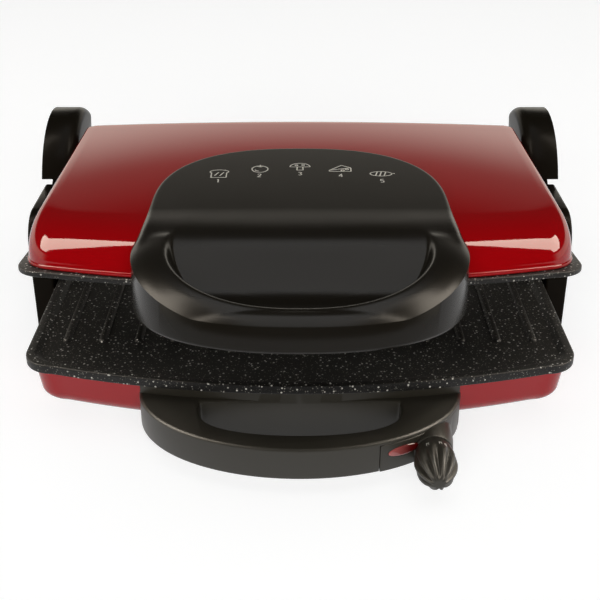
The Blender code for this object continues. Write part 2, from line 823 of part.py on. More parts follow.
def thermostat():
    centre_y = plate_y - thermostat_centre
    high = handle_top - pocket_skin - seat_gap
    outline = square(thermostat_x, centre_y, thermostat_half)
    body = slab("thermostat_body", [outline], high - thermostat_height, high)
    piece = add_object("thermostat_body", body, ceramic)
    hole = arc(knob_x, knob_z, shaft_radius + running_gap, 0, 360, 16)[:-1]
    front = centre_y - thermostat_half
    cut(piece, slab("hole", [hole], front - cut_overrun, centre_y, "Y"), "shaft_hole")
    cover_low = handle_bottom
    cover_high = high - thermostat_height - seat_gap
    outline = square(thermostat_x, centre_y, pocket_half - seat_gap)
    cover = slab("control_cover", [outline], cover_low, cover_high)
    cover = add_object("control_cover", cover, black_plastic)
    soften(cover, seat_gap)
    length = centre_y - seat_gap - (plate_y - collar_front - knob_length / 2)
    ends = [(0, length - knob_length / 2, 0), (0, -knob_length / 2, 0)]
    add_object("thermostat_shaft", tube("thermostat_shaft", ends, shaft_radius), bare_steel, knob_axis)


def control_knob():
    """A fluted tulip knob that narrows to its tip."""
    turns = knob_flutes * 6
    sections = []
    for along, width in knob_profile_shares:
        depth = knob_flute_share * min(1, along / knob_flute_start_share)
        row = []
        for i in range(turns):
            angle = 2 * math.pi * i / turns
            dip = depth * abs(math.sin(knob_flutes * angle / 2)) ** 2
            radius = knob_radius * width * (1 - dip)
            row.append((radius * math.cos(angle), -seat_gap - knob_length * along, radius * math.sin(angle)))
        sections.append(row)
    tip = (0, -seat_gap - knob_length * knob_tip_share, 0)
    knob = add_object("control_knob", loft("control_knob", sections, last=tip), black_plastic, knob_axis)
    hole = arc(0, 0, shaft_radius + seat_gap, 0, 360, 16)[:-1]
    depth = knob_length / 2 + 2 * seat_gap
    cut(knob, slab("hole", [hole], -depth, cut_overrun, "Y"), "shaft_hole")


# Hinge towers, rod and bushes


def along_float(travel):
    """Where the hinge axis lies in side view after a rise above the closed place."""
    return axis_y_closed + float_back * travel / float_lift, axis_z_closed + travel


def cover_tip(travel, tilt):
    """The front lower corner of a hinge cover in side view, for one rise and one tilt of the lid."""
    y, z = along_float(travel)
    angle = cover_front_angle - rest_tilt + tilt
    return y - cover_radius * math.cos(angle), z + cover_radius * math.sin(angle)


def tower_outline():
    """Side view: a tall front part, a slanting back where the cover drops in, and a round head.

    The heel is cut to the head's circle too, so that the cover passes it when the lid is fully open."""
    front = axis_y_closed - tower_reach
    rear = axis_y_closed + tower_tail
    head = cover_radius - cover_wall - head_gap
    low_y, low_z = cover_tip(0, 0)
    high_y, high_z = cover_tip(float_lift, 0)
    slope = (high_y - low_y) / (high_z - low_z)
    floor_z = low_z - notch_below
    top_y = high_y - drop_clearance + slope * (tower_top - high_z)
    floor_y = low_y - drop_clearance + slope * (floor_z - low_z)
    outline = [(front, leg_bottom)]
    outline += arc(front + tower_nose, tower_top - tower_nose, tower_nose, 180, 90, 6)
    outline += [(top_y, tower_top), (floor_y, floor_z)]
    start = 180 - math.degrees(math.asin((floor_z - axis_z_closed) / head))
    end = math.degrees(math.acos(tower_tail / head))
    outline += arc(axis_y_closed, axis_z_closed, head, start, end, 16)
    drop = math.sqrt(head ** 2 - tower_tail ** 2)
    heel = math.sqrt(head ** 2 - (axis_z_closed - leg_bottom) ** 2)
    return outline + [(rear, axis_z_closed - drop), (axis_y_closed + heel, leg_bottom)]


def slot_outline():
    """The slot that the bush rides in: two round ends joined along the line of float."""
    radius = bush_radius + seat_gap
    low = along_float(-seat_gap)
    high = along_float(float_lift + float_spare + seat_gap)
    lean = math.degrees(math.atan2(high[1] - low[1], high[0] - low[0]))
    outline = arc(high[0], high[1], radius, lean - 90, lean + 90, 8)
    return outline + arc(low[0], low[1], radius, lean + 90, lean + 270, 8)


def hinge_towers():
    for side, label in ((-1, "left"), (1, "right")):
        name = "hinge_tower_" + label
        start, end = sorted((side * tower_inner, side * tower_outer))
        tower = add_object(name, slab(name, [tower_outline()], start, end, "X"), black_plastic)
        soften(tower, tower_round)
        foot_start, foot_end = sorted((side * (plate_half_width - base_side_inset - tower_foot_reach),
                                       side * (tower_inner + tower_round + cut_overrun)))
        low = shell_bottom + tower_round
        near = axis_y_closed - tower_foot_front
        far = axis_y_closed - tower_foot_rear
        shape = [(near, low), (far, low), (far, tower_foot_top), (near, tower_foot_top)]
        join(tower, slab("foot", [shape], foot_start, foot_end, "X"), "foot")
        cut(tower, loft("shell_form", base_form_sections()), "shell_form")
        cut(tower, slab("slot", [slot_outline()], start - cut_overrun, end + cut_overrun, "X"), "slot")


def carriage():
    """The cross rod that the lid turns on, with a bush near each end that slides in a tower's slot."""
    reach = tower_outer - seat_gap
    outline = arc(0, 0, rod_radius, 0, 360, 20)[:-1]
    rod = slab("hinge_rod", [outline], -reach, reach, "X")
    add_object("hinge_rod", rod, bare_steel, carriage_axis)
    for side, label in ((-1, "left"), (1, "right")):
        start, end = sorted((side * (tower_inner + seat_gap), side * (tower_outer - seat_gap)))
        ring = arc(0, 0, bush_radius, 0, 360, 24)[:-1]
        bore = arc(0, 0, rod_radius + seat_gap, 0, 360, 20)[:-1]
        name = "slide_bush_" + label
        add_object(name, slab(name, [ring, bore], start, end, "X"), black_plastic, carriage_axis)


# Lid


def arm_outline(radius, room=0.0):
    """Side view of a hinge arm about its axis: a round boss below a sector of a disc, with room under it."""
    start = 180 - math.degrees(cover_front_angle - rest_tilt - room / radius)
    end = 180 - math.degrees(cover_rear_angle - rest_tilt)
    outline = arc(0, 0, radius, start, end, 14)
    outline += arc(0, 0, arm_boss, 20, -180, 9)
    return outline + [(-arm_heel, arm_floor - room)]


def hinge_arms():
    for side, label in ((-1, "left"), (1, "right")):
        name = "hinge_arm_" + label
        start, end = sorted((side * arm_inner, side * arm_outer))
        arm_radius = cover_radius - cover_wall - seat_gap
        bore = arc(0, 0, rod_radius + seat_gap, 0, 360, 16)[:-1]
        arm = slab(name, [arm_outline(arm_radius), bore], start, end, "X")
        arm = add_object(name, arm, bare_steel, lid_axis)
        start, end = sorted((side * (arm_inner - tongue_reach), side * (arm_inner + cut_overrun)))
        top = tongue_floor + tongue_thickness
        ear = [(-tongue_front, tongue_floor), (-tongue_rear, tongue_floor), (-tongue_rear, top),
               (-tongue_front, top)]
        join(arm, slab("tongue", [ear], start, end, "X"), "tongue")
        name = "hinge_cover_" + label
        start, end = sorted((side * arm_inner, side * cheek_outer))
        cover = slab(name, [arm_outline(cover_radius)], start, end, "X")
        cover = add_object(name, cover, black_plastic, lid_axis)
        soften(cover, cover_round)
        start, end = sorted((side * (arm_inner - cut_overrun), side * cheek_inner))
        room = arc(0, 0, cover_radius - cover_wall, 0, 360, 48)[:-1]
        cut(cover, slab("room", [room], start, end, "X"), "room")


def lid_top(x, y):
    """Height of the lid's top over the parting plane; it climbs to the rear and falls to the sides."""
    climb = lid_front_height + lid_top_slope * (y - lid_y)
    return climb + lid_crown * (1 - (x / plate_half_width) ** 2)


def drawn_in(outline):
    """Gives the lid's outline more points along its sides, and draws it in behind the hooks' front ends."""
    points = []
    for i, (x, y) in enumerate(outline):
        points.append((x, y))
        after_x, after_y = outline[(i + 1) % len(outline)]
        if min(y, after_y) < -waist_front < -waist_rear < max(y, after_y):
            for step in range(waist_steps + 1):
                place = -waist_front + (waist_front - waist_rear) * step / waist_steps
                place = place if after_y > y else -waist_front - waist_rear - place
                points.append((x + (after_x - x) * (place - y) / (after_y - y), place))
    drawn = []
    for x, y in points:
        share = lid_waist / (plate_half_width - lid_side_inset)
        drawn.append((x * (1 - share * smooth((y + waist_front) / (waist_front - waist_rear))), y))
    return drawn


def lid_sections(inset, steps):
    """Outlines from the lid's lower edge up its walls and over its rounded shoulders."""
    sections = []
    for i in range(steps + 1):
        angle = math.pi / 2 * i / steps
        rise = math.sin(angle) ** (2 / lid_fullness)
        draw = 1 - math.cos(angle) ** (2 / lid_fullness)
        side = lid_side_inset + inset + lid_side_round * draw
        front = lid_front_inset + inset + lid_nose * draw
        rear = lid_rear_inset + inset + lid_rear_round * draw
        corner = lid_corner + (lid_nose - lid_corner) * draw
        outline = plan(plate_half_width - side, lid_y - plate_corner + front, lid_y + plate_length - rear,
                       corner, lid_rear_corner, plate_bow * (1 - draw * lid_bow_share))
        outline = drawn_in(outline)
        bottom = lid_bottom - parting_rise
        row = []
        for x, y in outline:
            top = lid_top(x, y) - inset
            row.append((x, y, parting_rise + bottom + (top - bottom) * rise))
        sections.append(row)
    middle = lid_y + plate_length / 2
    for share in lid_crown_shares:
        row = []
        for x, y, _ in sections[steps]:
            a = x * share
            b = middle + (y - middle) * share
            row.append((a, b, parting_rise + lid_top(a, b) - inset))
        sections.append(row)
    return sections, (0, middle, parting_rise + lid_top(0, middle) - inset)


def lid_shell():
    outer, peak = lid_sections(0, 8)
    inner, hollow = lid_sections(lid_wall, 5)
    mesh = loft("lid_shell", inner[::-1] + outer, first=hollow, last=peak)
    shell = add_object("lid_shell", mesh, red_enamel, lid_axis)
    for side, label in ((-1, "left"), (1, "right")):
        start, end = sorted((side * (arm_inner - tongue_reach), side * (arm_inner + cut_overrun)))
        low = tongue_floor - seat_gap
        high = tongue_floor + tongue_thickness + seat_gap
        near = -tongue_front - seat_gap
        far = seat_gap - tongue_rear
        slot = slab("slot", [[(near, low), (far, low), (far, high), (near, high)]], start, end, "X")
        cut(shell, slot, label + "_tongue_slot")
        x = side * (arm_inner - tongue_reach / 2)
        y = -(tongue_front + tongue_rear) / 2
        boss = arc(x, y, lid_boss_radius, 0, 360, 12)[:-1]
        low = tongue_floor + tongue_thickness + seat_gap
        high = parting_rise + lid_top(x, y) - lid_wall / 2
        join(shell, slab("boss", [boss], low, high), label + "_boss")


# Lid handle


def blend_over(low, high):
    """The higher of two heights, with a soft change from one to the other."""
    gap = low - high
    return (low + high + math.sqrt(gap ** 2 + blend ** 2) - blend) / 2


def nose_height(x, y):
    """Height of the lid's outer face over the parting plane, near its front edge."""
    straight = plate_half_width - plate_corner
    front = lid_front_inset - plate_corner - plate_bow * (1 - (x / straight) ** 2)
    share = min(1, max(0, (y - front) / lid_nose))
    return lid_top(x, lid_y + y) * (1 - (1 - share) ** lid_fullness) ** (1 / lid_fullness)


def smooth(share):
    share = min(1, max(0, share))
    return share * share * (3 - 2 * share)


def hood_outline():
    """The handle from above: an elliptic grip in front and a fuller arch behind, points from the front."""
    half = []
    steps = 14
    depth = grip_front - grip_centre
    for i in range(steps):
        angle = math.pi / 2 * i / steps
        half.append((grip_half_width * math.sin(angle), -grip_centre - depth * math.cos(angle)))
    half.append((grip_half_width, -grip_centre))
    side = (grip_half_width + hood_half_width) / 2
    half.append((side, (hood_centre - grip_centre) / 2))
    steps = 12
    for i in range(steps):
        angle = math.pi / 2 * i / steps
        x = hood_half_width * math.cos(angle) ** (2 / hood_fullness)
        half.append((x, hood_centre + (hood_rear - hood_centre) * math.sin(angle) ** (2 / hood_fullness)))
    half.append((0, hood_rear))
    return half + [(-x, y) for x, y in half[-2:0:-1]]


def hood_height(x, y, inset):
    """Height of the handle over the parting plane: a flat top, a scoop, and a raised rim that is the grip."""
    if y > hood_bend:
        height = hood_bend_height + lid_top_slope * (y - hood_bend)
    else:
        share = (y + scoop_front) / (scoop_front + hood_bend)
        height = scoop_floor + (hood_bend_height - scoop_floor) * smooth(share)
    height = blend_over(height, nose_height(x, y) + hood_skin)
    thinning = smooth((y + grip_centre) / (hood_centre + grip_centre))
    edge = hood_edge + (hood_rear_edge - hood_edge) * thinning
    if inset < edge:
        height -= edge - math.sqrt(edge ** 2 - (edge - inset) ** 2)
    reach = grip_front - crest_inset
    share = min(1, max(0, (y + reach) / (reach - crest_side)))
    climb = 1 - (1 - share) ** crest_power
    crest = crest_front_height + (crest_side_height - crest_front_height) * climb
    if inset < crest_inset:
        ridge = crest - crest_drop * (1 - inset / crest_inset) ** 2
    else:
        ridge = crest - (crest + crest_foot) * smooth((inset - crest_inset) / crest_inner)
    return blend_over(height, ridge)


def hood_sections():
    outline = hood_outline()
    centre_y = (hood_rear - grip_front) / 2
    insets = (0.0, hood_rear_edge / 3, hood_rear_edge, (hood_rear_edge + hood_edge) / 2, hood_edge, crest_inset)
    insets += tuple(crest_inset + crest_inner * share for share in crest_shares)
    rows = []
    for inset in insets:
        row = []
        for x, y in outline:
            reach = math.hypot(x, y - centre_y)
            share = 1 - inset / reach
            a = x * share
            b = centre_y + (y - centre_y) * share
            row.append((a, lid_y + b, parting_rise + hood_height(a, b, inset)))
        rows.append(row)
    inner = rows[-1]
    for share in scoop_shares:
        row = []
        for x, y, _ in inner:
            b = centre_y + (y - lid_y - centre_y) * share
            row.append((x * share, lid_y + b, parting_rise + hood_height(x * share, b, grip_front)))
        rows.append(row)
    tip = (0, lid_y + centre_y, parting_rise + hood_height(0, centre_y, grip_front))
    return rows, tip


def grip_plan(inset):
    """The underside of the grip from below, in front of the plate's rim."""
    rear = lid_y - plate_corner - plate_bow - grip_wall - inset
    depth = grip_front - grip_centre - inset
    half_width = grip_half_width - inset
    turn = math.acos((lid_y - grip_centre - rear) / depth)
    points = []
    steps = 20
    for i in range(steps + 1):
        angle = -turn + 2 * turn * i / steps
        points.append((half_width * math.sin(angle), lid_y - grip_centre - depth * math.cos(angle)))
    return points


def lid_handle():
    """The black hood on the lid: its top carries on the lid's line, and its front rim is the grip."""
    name = "lid_handle"
    rows, tip = hood_sections()
    low = parting_rise - grip_bottom
    wall = [(x, y, low + handle_round) for x, y, _ in rows[0]]
    shrink = 1 - handle_round / grip_front
    edge = [(x * shrink, lid_y + (y - lid_y) * shrink, low) for x, y, _ in rows[0]]
    handle = add_object(name, loft(name, [edge, wall] + rows, last=tip), black_plastic, lid_axis)
    outer, peak = lid_sections(-seat_gap, 8)
    room = [(x, y, low - cut_overrun) for x, y, _ in outer[0]]
    cut(handle, loft("lid_form", [room] + outer, last=peak), "lid_form")
    high = lid_bottom + running_gap
    rim = plan(plate_half_width + running_gap, lid_y - plate_corner - running_gap, lid_y + plate_length,
               plate_corner, plate_rear_corner, plate_bow)
    cut(handle, slab("rim_form", [rim], low - cut_overrun, high), "rim_form")
    pocket = slab("pocket", [grip_plan(grip_wall)], low - cut_overrun, low + grip_pocket)
    cut(handle, pocket, "pocket")
    name = "lid_handle_cover"
    cover = slab(name, [grip_plan(grip_wall + seat_gap)], low, low + grip_cover)
    add_object(name, cover, black_plastic, lid_axis)


grill_plate("lower_grill_plate", plate_y, rim_top, lower_rim, False)
grill_plate("upper_grill_plate", lid_y, rim_top, upper_rim, True, lid_axis)
heating_element("lower_heating_element", plate_y, element_z)
reflector("lower_heat_reflector", plate_y, reflector_top - reflector_sheet)
upper_element_z = upper_rim_bottom + cook_recess + cook_thickness + seat_gap + element_radius
heating_element("upper_heating_element", lid_y, upper_element_z, lid_axis)
reflector("lid_heat_reflector", lid_y, upper_element_z + element_radius + seat_gap, lid_axis)
base_shell()
bottom_cover()
feet()
base_internals()
base_handle()
control_panel()
indicator_lens()
thermostat()
control_knob()
hinge_towers()
carriage()
hinge_arms()
lid_shell()
lid_handle()
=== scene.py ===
import json
import math

import bpy
from mathutils import Matrix, Vector


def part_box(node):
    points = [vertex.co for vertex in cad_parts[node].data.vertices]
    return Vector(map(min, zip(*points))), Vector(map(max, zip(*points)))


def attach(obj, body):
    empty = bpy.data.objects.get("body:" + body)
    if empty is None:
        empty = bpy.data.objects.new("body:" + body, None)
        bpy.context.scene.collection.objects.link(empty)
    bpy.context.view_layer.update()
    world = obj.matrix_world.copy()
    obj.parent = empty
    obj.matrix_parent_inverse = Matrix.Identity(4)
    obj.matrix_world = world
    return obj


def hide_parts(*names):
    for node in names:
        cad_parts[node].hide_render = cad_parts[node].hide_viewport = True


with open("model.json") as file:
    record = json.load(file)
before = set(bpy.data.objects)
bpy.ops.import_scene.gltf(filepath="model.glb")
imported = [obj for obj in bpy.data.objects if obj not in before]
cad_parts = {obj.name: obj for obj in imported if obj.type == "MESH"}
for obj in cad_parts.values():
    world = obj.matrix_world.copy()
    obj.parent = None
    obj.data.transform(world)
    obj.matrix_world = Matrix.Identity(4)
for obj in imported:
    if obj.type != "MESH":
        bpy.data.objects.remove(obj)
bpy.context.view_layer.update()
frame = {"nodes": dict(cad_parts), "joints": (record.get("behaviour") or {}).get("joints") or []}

nodes = frame["nodes"]
joints = {joint["name"]: joint for joint in frame["joints"]}
MM = 0.001
# pieces that seat keep seat_gap between them, and pieces that move past each other running_gap; a form that
# cuts or joins another reaches past its faces by overrun
seat_gap = 0.3 * MM
running_gap = 0.6 * MM
overrun = 2.0 * MM

# Camera
# The photograph looks down on the grill from the front, square to its middle, through a longish lens.
camera_back = 667.5 * MM
camera_height = 388.7 * MM
camera_dip = 27.5
camera_lens = 64.38
lens = bpy.data.cameras.new("camera")
lens.lens = camera_lens
camera = bpy.data.objects.new("camera", lens)
bpy.context.scene.collection.objects.link(camera)
camera.location = (0, -camera_back, camera_height)
camera.rotation_euler = (math.radians(90 - camera_dip), 0, 0)
bpy.context.scene.camera = camera
bpy.context.scene.view_settings.view_transform = "Standard"


def srgb(code):
    """A colour written as sRGB hex, turned into the linear values that a shader works in."""
    levels = [int(code[i:i + 2], 16) / 255 for i in (1, 3, 5)]
    return [v / 12.92 if v <= 0.04045 else ((v + 0.055) / 1.055) ** 2.4 for v in levels] + [1.0]


def add(material, kind, inputs=None, **settings):
    """Adds one shader node; an input takes a number, a colour, or the socket that feeds it."""
    made = material.node_tree.nodes.new(kind)
    for name, value in settings.items():
        setattr(made, name, value)
    for name, value in (inputs or {}).items():
        if isinstance(value, bpy.types.NodeSocket):
            material.node_tree.links.new(value, made.inputs[name])
        else:
            made.inputs[name].default_value = value
    return made


def bare_material(name):
    """A material with no nodes yet."""
    made = bpy.data.materials.new(name)
    made.use_nodes = True
    made.node_tree.nodes.clear()
    return made


# Floor and backdrop
# A matt white sweep. What the camera and polished things see of it is lifted to white, and it keeps the
# shadow.
floor_size = 12.0
floor_lift = 0.72
bpy.ops.object.select_all(action="DESELECT")
bpy.ops.mesh.primitive_plane_add(size=floor_size)
floor = bpy.context.object
floor.name = "floor"
sweep = bare_material("matt_white_sweep")
paper = add(sweep, "ShaderNodeBsdfDiffuse", {"Color": srgb("#F2F2F2"), "Roughness": 1.0})
dimmer = add(sweep, "ShaderNodeBsdfDiffuse", {"Color": srgb("#B4B4B4"), "Roughness": 1.0})
glow = add(sweep, "ShaderNodeEmission", {"Color": srgb("#FFFFFF"), "Strength": floor_lift})
lifted = add(sweep, "ShaderNodeAddShader", {0: dimmer.outputs[0], 1: glow.outputs[0]})
path = add(sweep, "ShaderNodeLightPath")
seen = add(sweep, "ShaderNodeMath", {0: path.outputs["Is Camera Ray"], 1: path.outputs["Is Glossy Ray"]},
           operation="MAXIMUM")
seen = add(sweep, "ShaderNodeMath", {0: seen.outputs[0], 1: path.outputs["Is Transmission Ray"]},
           operation="MAXIMUM")
choice = add(sweep, "ShaderNodeMixShader", {0: seen.outputs[0], 1: paper.outputs[0], 2: lifted.outputs[0]})
add(sweep, "ShaderNodeOutputMaterial", {"Surface": choice.outputs[0]})
floor.data.materials.append(sweep)

# The studio's room
# Its rear and side walls are white low down; the ceiling and the photographer's side are dark. Heights are
# given as the rise of the line of sight, from 0 at the horizon to 1 overhead.
wall_light = 1.2
wall_full, wall_end = 0.270, 0.318
haze_light = 0.26
haze_full, haze_end = 0.300, 0.356
dark_front, light_front = -0.6, -0.25
dark_level = 0.03
world = bpy.data.worlds.new("white_room")
world.use_nodes = True
world.node_tree.nodes.clear()
heading = add(world, "ShaderNodeTexCoord").outputs["Generated"]
parts = add(world, "ShaderNodeSeparateXYZ", {"Vector": heading})
walls = add(world, "ShaderNodeMapRange", {"Value": parts.outputs["Z"], "From Min": wall_full,
                                          "From Max": wall_end, "To Min": wall_light, "To Max": 0.0},
            interpolation_type="SMOOTHSTEP")
fade = add(world, "ShaderNodeMapRange", {"Value": parts.outputs["Z"], "From Min": haze_full,
                                         "From Max": haze_end, "To Min": haze_light, "To Max": 0.0})
front = add(world, "ShaderNodeMapRange", {"Value": parts.outputs["Y"], "From Min": dark_front,
                                          "From Max": light_front}, interpolation_type="SMOOTHSTEP")
light = add(world, "ShaderNodeMath", {0: walls.outputs["Result"], 1: fade.outputs["Result"]}, operation="ADD")
light = add(world, "ShaderNodeMath", {0: light.outputs[0], 1: front.outputs["Result"]}, operation="MULTIPLY")
light = add(world, "ShaderNodeMath", {0: light.outputs[0], 1: dark_level}, operation="ADD")
room = add(world, "ShaderNodeBackground", {"Color": srgb("#FFF8EA"), "Strength": light.outputs[0]})
add(world, "ShaderNodeOutputWorld", {"Surface": room.outputs[0]})
bpy.context.scene.world = world

# Lamps
# Two large softboxes, overhead and in front, light everything evenly without showing in polished surfaces.
# What those mirror is a dim panel overhead and, to each side, a bright card that widens outwards: the
# tapering streak along the lid's front.
for name, place, aim, size, shape, power, lights, mirrored in (
        ("overhead_softbox", (0.0, -0.15, 1.6), (0.0, 0.0, 0.05), (2.2, 1.8), "RECTANGLE", 10.0, True, False),
        ("front_softbox", (0.0, -2.2, 0.9), (0.0, 0.0, 0.05), (2.4, 1.0), "RECTANGLE", 32.0, True, False),
        ("overhead_panel", (0.0, 0.05, 1.25), (0.0, 0.05, 0.0), (0.76, 1.1), "RECTANGLE", 4.5, False, True)):
    lamp = bpy.data.lights.new(name, "AREA")
    lamp.shape = shape
    lamp.size, lamp.size_y = size
    lamp.energy = power
    held = bpy.data.objects.new(name, lamp)
    bpy.context.scene.collection.objects.link(held)
    held.location = place
    held.rotation_euler = (Vector(aim) - Vector(place)).to_track_quat("-Z", "Y").to_euler()
    held.visible_diffuse = lights
    held.visible_glossy = mirrored

card_height = 1.2
card_shape = (
    (-0.40, 0.27), (-0.44, 0.28), (-0.51, 0.27), (-0.58, 0.25), (-0.65, 0.22), (-0.72, 0.18), (-0.77, 0.16),
    (-0.81, 0.14), (-0.87, 0.16), (-0.97, 0.20), (-1.03, 0.32), (-1.13, 0.54), (-1.34, 0.46), (-1.73, 0.24),
    (-2.60, -0.22), (-2.50, -0.75), (-2.20, -1.10), (-1.62, -0.88), (-1.40, -0.75), (-1.32, -0.72),
    (-1.18, -0.63), (-1.10, -0.56), (-0.97, -0.45), (-0.86, -0.34), (-0.76, -0.24), (-0.68, -0.14),
    (-0.55, 0.02), (-0.46, 0.13), (-0.40, 0.19))
glow = bare_material("studio_card_light")
shine = add(glow, "ShaderNodeEmission", {"Color": srgb("#FFF3E2"), "Strength": 12.0})
add(glow, "ShaderNodeOutputMaterial", {"Surface": shine.outputs[0]})
for side, label in ((1, "left"), (-1, "right")):
    data = bpy.data.meshes.new(label + "_card")
    data.from_pydata([(side * x, y, card_height) for x, y in card_shape], [], [tuple(range(len(card_shape)))])
    card = bpy.data.objects.new(label + "_card", data)
    bpy.context.scene.collection.objects.link(card)
    data.materials.append(glow)
    card.visible_camera = False
    card.visible_diffuse = False
    card.visible_shadow = False

# Grill plates
# Each is a die-cast aluminium tray with a flat rim, ribs across a sunk cooking face, and an open back for
# the element. Both are sprayed with a black non-stick coat that carries pale mineral specks.
plate_half_width = 172.0 * MM
plate_length = 209.0 * MM
plate_corner = 19.0 * MM
plate_rear_corner = 30.0 * MM
plate_bow = 23.0 * MM
tray_corner = 14.0 * MM
tray_inset = 17.35 * MM
tray_depth = 7.0 * MM
tray_wall = 3.0 * MM
rim_width = 6.0 * MM
rim_round = 0.9 * MM
cook_recess = 3.0 * MM
cook_thickness = 4.0 * MM
plate_middle = 40.0 * MM
rib_count = 14
rib_side_gap = 16.0 * MM
rib_front_gap = 34.0 * MM
rib_rear_gap = 14.0 * MM
rib_height = 1.8 * MM
rib_foot = 6.0 * MM
rib_crown = 2.6 * MM
plate_y = -83.8 * MM
rim_top = 49.0 * MM
lower_rim = 6.0 * MM
upper_rim = 3.5 * MM
hinge = Vector(joints["lid_hinge"]["pos_m"])
rest_tilt = math.radians(-joints["lid_hinge"]["range_deg"][0])
lid_place = Matrix.Translation(hinge) @ Matrix.Rotation(-rest_tilt, 4, "X")
lid_y = -221.4 * MM
parting_rise = 8.6 * MM
upper_rim_bottom = parting_rise + 0.5 * MM - upper_rim


def arc(centre_a, centre_b, radius, start, end, steps):
    """Points along an arc, with angles in degrees."""
    turns = [math.radians(start + (end - start) * i / steps) for i in range(steps + 1)]
    return [(centre_a + radius * math.cos(t), centre_b + radius * math.sin(t)) for t in turns]


def circle(centre_a, centre_b, radius, steps):
    return arc(centre_a, centre_b, radius, 0, 360, steps)[:-1]


def plan(half_width, front, rear, corner, rear_corner, bow, join=0.0):
    """An outline from above: a bowed front edge, small front corners and rounder rear ones.

    The bow runs into each front corner at the slope of the angle join, in radians."""
    straight = half_width - corner
    reach = half_width - corner * (1 - math.sin(join))
    bow_steps = 28
    half = []
    for i in range(bow_steps):
        x = reach * i / bow_steps
        half.append((x, front - bow * (1 - (x / straight) ** 2)))
    corner_y = front - bow * (1 - (reach / straight) ** 2) + corner * math.cos(join)
    half += arc(straight, corner_y, corner, math.degrees(join) - 90, 0, 14)
    side_steps = 36
    for i in range(1, side_steps):
        half.append((half_width, corner_y + (rear - rear_corner - corner_y) * i / side_steps))
    half += arc(half_width - rear_corner, rear - rear_corner, rear_corner, 0, 90, 14)
    back_steps = 16
    for i in range(1, back_steps):
        half.append(((half_width - rear_corner) * (1 - i / back_steps), rear))
    half.append((0, rear))
    return half + [(-x, y) for x, y in half[-2:0:-1]]


def plate_plan(y, inset):
    """A grill plate's outline, drawn in by an inset; its inner corners are no tighter than the tray's."""
    corner = max(plate_corner - inset, min(tray_corner, plate_corner))
    return plan(plate_half_width - inset, y - plate_corner + inset, y + plate_length - inset, corner,
                max(plate_rear_corner - inset, tray_corner), plate_bow)


def raised(outline, height):
    """A flat outline as a ring at a height."""
    return [(x, y, height) for x, y in outline]


def skin(name, rings, loop=False):
    """Wraps a grid over a row of rings; a ring drawn to one point closes an end, a loop meets its start."""
    rows = rings + rings[:1] if loop else rings
    bpy.ops.object.select_all(action="DESELECT")
    bpy.ops.mesh.primitive_grid_add(x_subdivisions=len(rows[0]), y_subdivisions=len(rows) - 1)
    piece = bpy.context.object
    piece.name = name
    points = [value for row in rows for point in list(row) + list(row[:1]) for value in point]
    piece.data.vertices.foreach_set("co", points)
    bpy.ops.object.mode_set(mode="EDIT")
    bpy.ops.mesh.select_all(action="SELECT")
    bpy.ops.mesh.remove_doubles(threshold=0.001 * MM)
    bpy.ops.mesh.normals_make_consistent(inside=False)
    bpy.ops.object.mode_set(mode="OBJECT")
    return piece


def prism(name, outline, low, high, across="Z"):
    """An outline drawn on the corners of a filled circle and extruded along one axis."""
    bpy.ops.object.select_all(action="DESELECT")
    bpy.ops.mesh.primitive_circle_add(vertices=len(outline), fill_type="NGON")
    piece = bpy.context.object
    piece.name = name
    for vertex, (a, b) in zip(piece.data.vertices, outline):
        vertex.co = {"X": (low, a, b), "Y": (a, low, b), "Z": (a, b, low)}[across]
    bpy.ops.object.mode_set(mode="EDIT")
    bpy.ops.mesh.select_all(action="SELECT")
    step = [high - low if axis == across else 0 for axis in "XYZ"]
    bpy.ops.mesh.extrude_region_move(TRANSFORM_OT_translate={"value": step})
    bpy.ops.mesh.select_all(action="SELECT")
    bpy.ops.mesh.normals_make_consistent(inside=False)
    bpy.ops.object.mode_set(mode="OBJECT")
    return piece


def carve(piece, tool, operation="DIFFERENCE"):
    """Cuts a piece by another form, or joins the two into one body, and clears the form away."""
    bpy.context.view_layer.objects.active = piece
    change = piece.modifiers.new("carve", "BOOLEAN")
    change.object = tool
    change.operation = operation
    change.solver = "EXACT"
    bpy.ops.object.modifier_apply(modifier=change.name)
    bpy.data.objects.remove(tool)


def soften(piece, width, segments=3, angle=40):
    """Rounds a piece's edges with a bevel."""
    bpy.context.view_layer.objects.active = piece
    bevel = piece.modifiers.new("edges", "BEVEL")
    bevel.width = width
    bevel.segments = segments
    bevel.limit_method = "ANGLE"
    bevel.angle_limit = math.radians(angle)
    bpy.ops.object.modifier_apply(modifier=bevel.name)


def dress(piece, finish, angle=35):
    """Gives a piece its material and smooth shading, with its real edges kept sharp."""
    piece.data.materials.clear()
    piece.data.materials.append(finish)
    piece.data.shade_smooth()
    piece.data.set_sharp_from_angle(angle=math.radians(angle))


def finish_named(name, colour, roughness, metallic=0.0, **values):
    """Starts a material from its plain values; what varies over the surface is linked by its section."""
    made = bpy.data.materials.new(name)
    made.use_nodes = True
    shader = made.node_tree.nodes["Principled BSDF"]
    shader.inputs["Base Color"].default_value = srgb(colour)
    shader.inputs["Roughness"].default_value = roughness
    shader.inputs["Metallic"].default_value = metallic
    for label, value in values.items():
        shader.inputs[label.replace("_", " ")].default_value = value
    return made, shader


def recoat(names, finish):
    """Gives CAD nodes a material in place of their own."""
    for name in names:
        nodes[name].data.materials.clear()
        nodes[name].data.materials.append(finish)


def feed(material, shader, socket, source):
    """Links what varies over a surface to one of its shader's inputs."""
    material.node_tree.links.new(source, shader.inputs[socket])


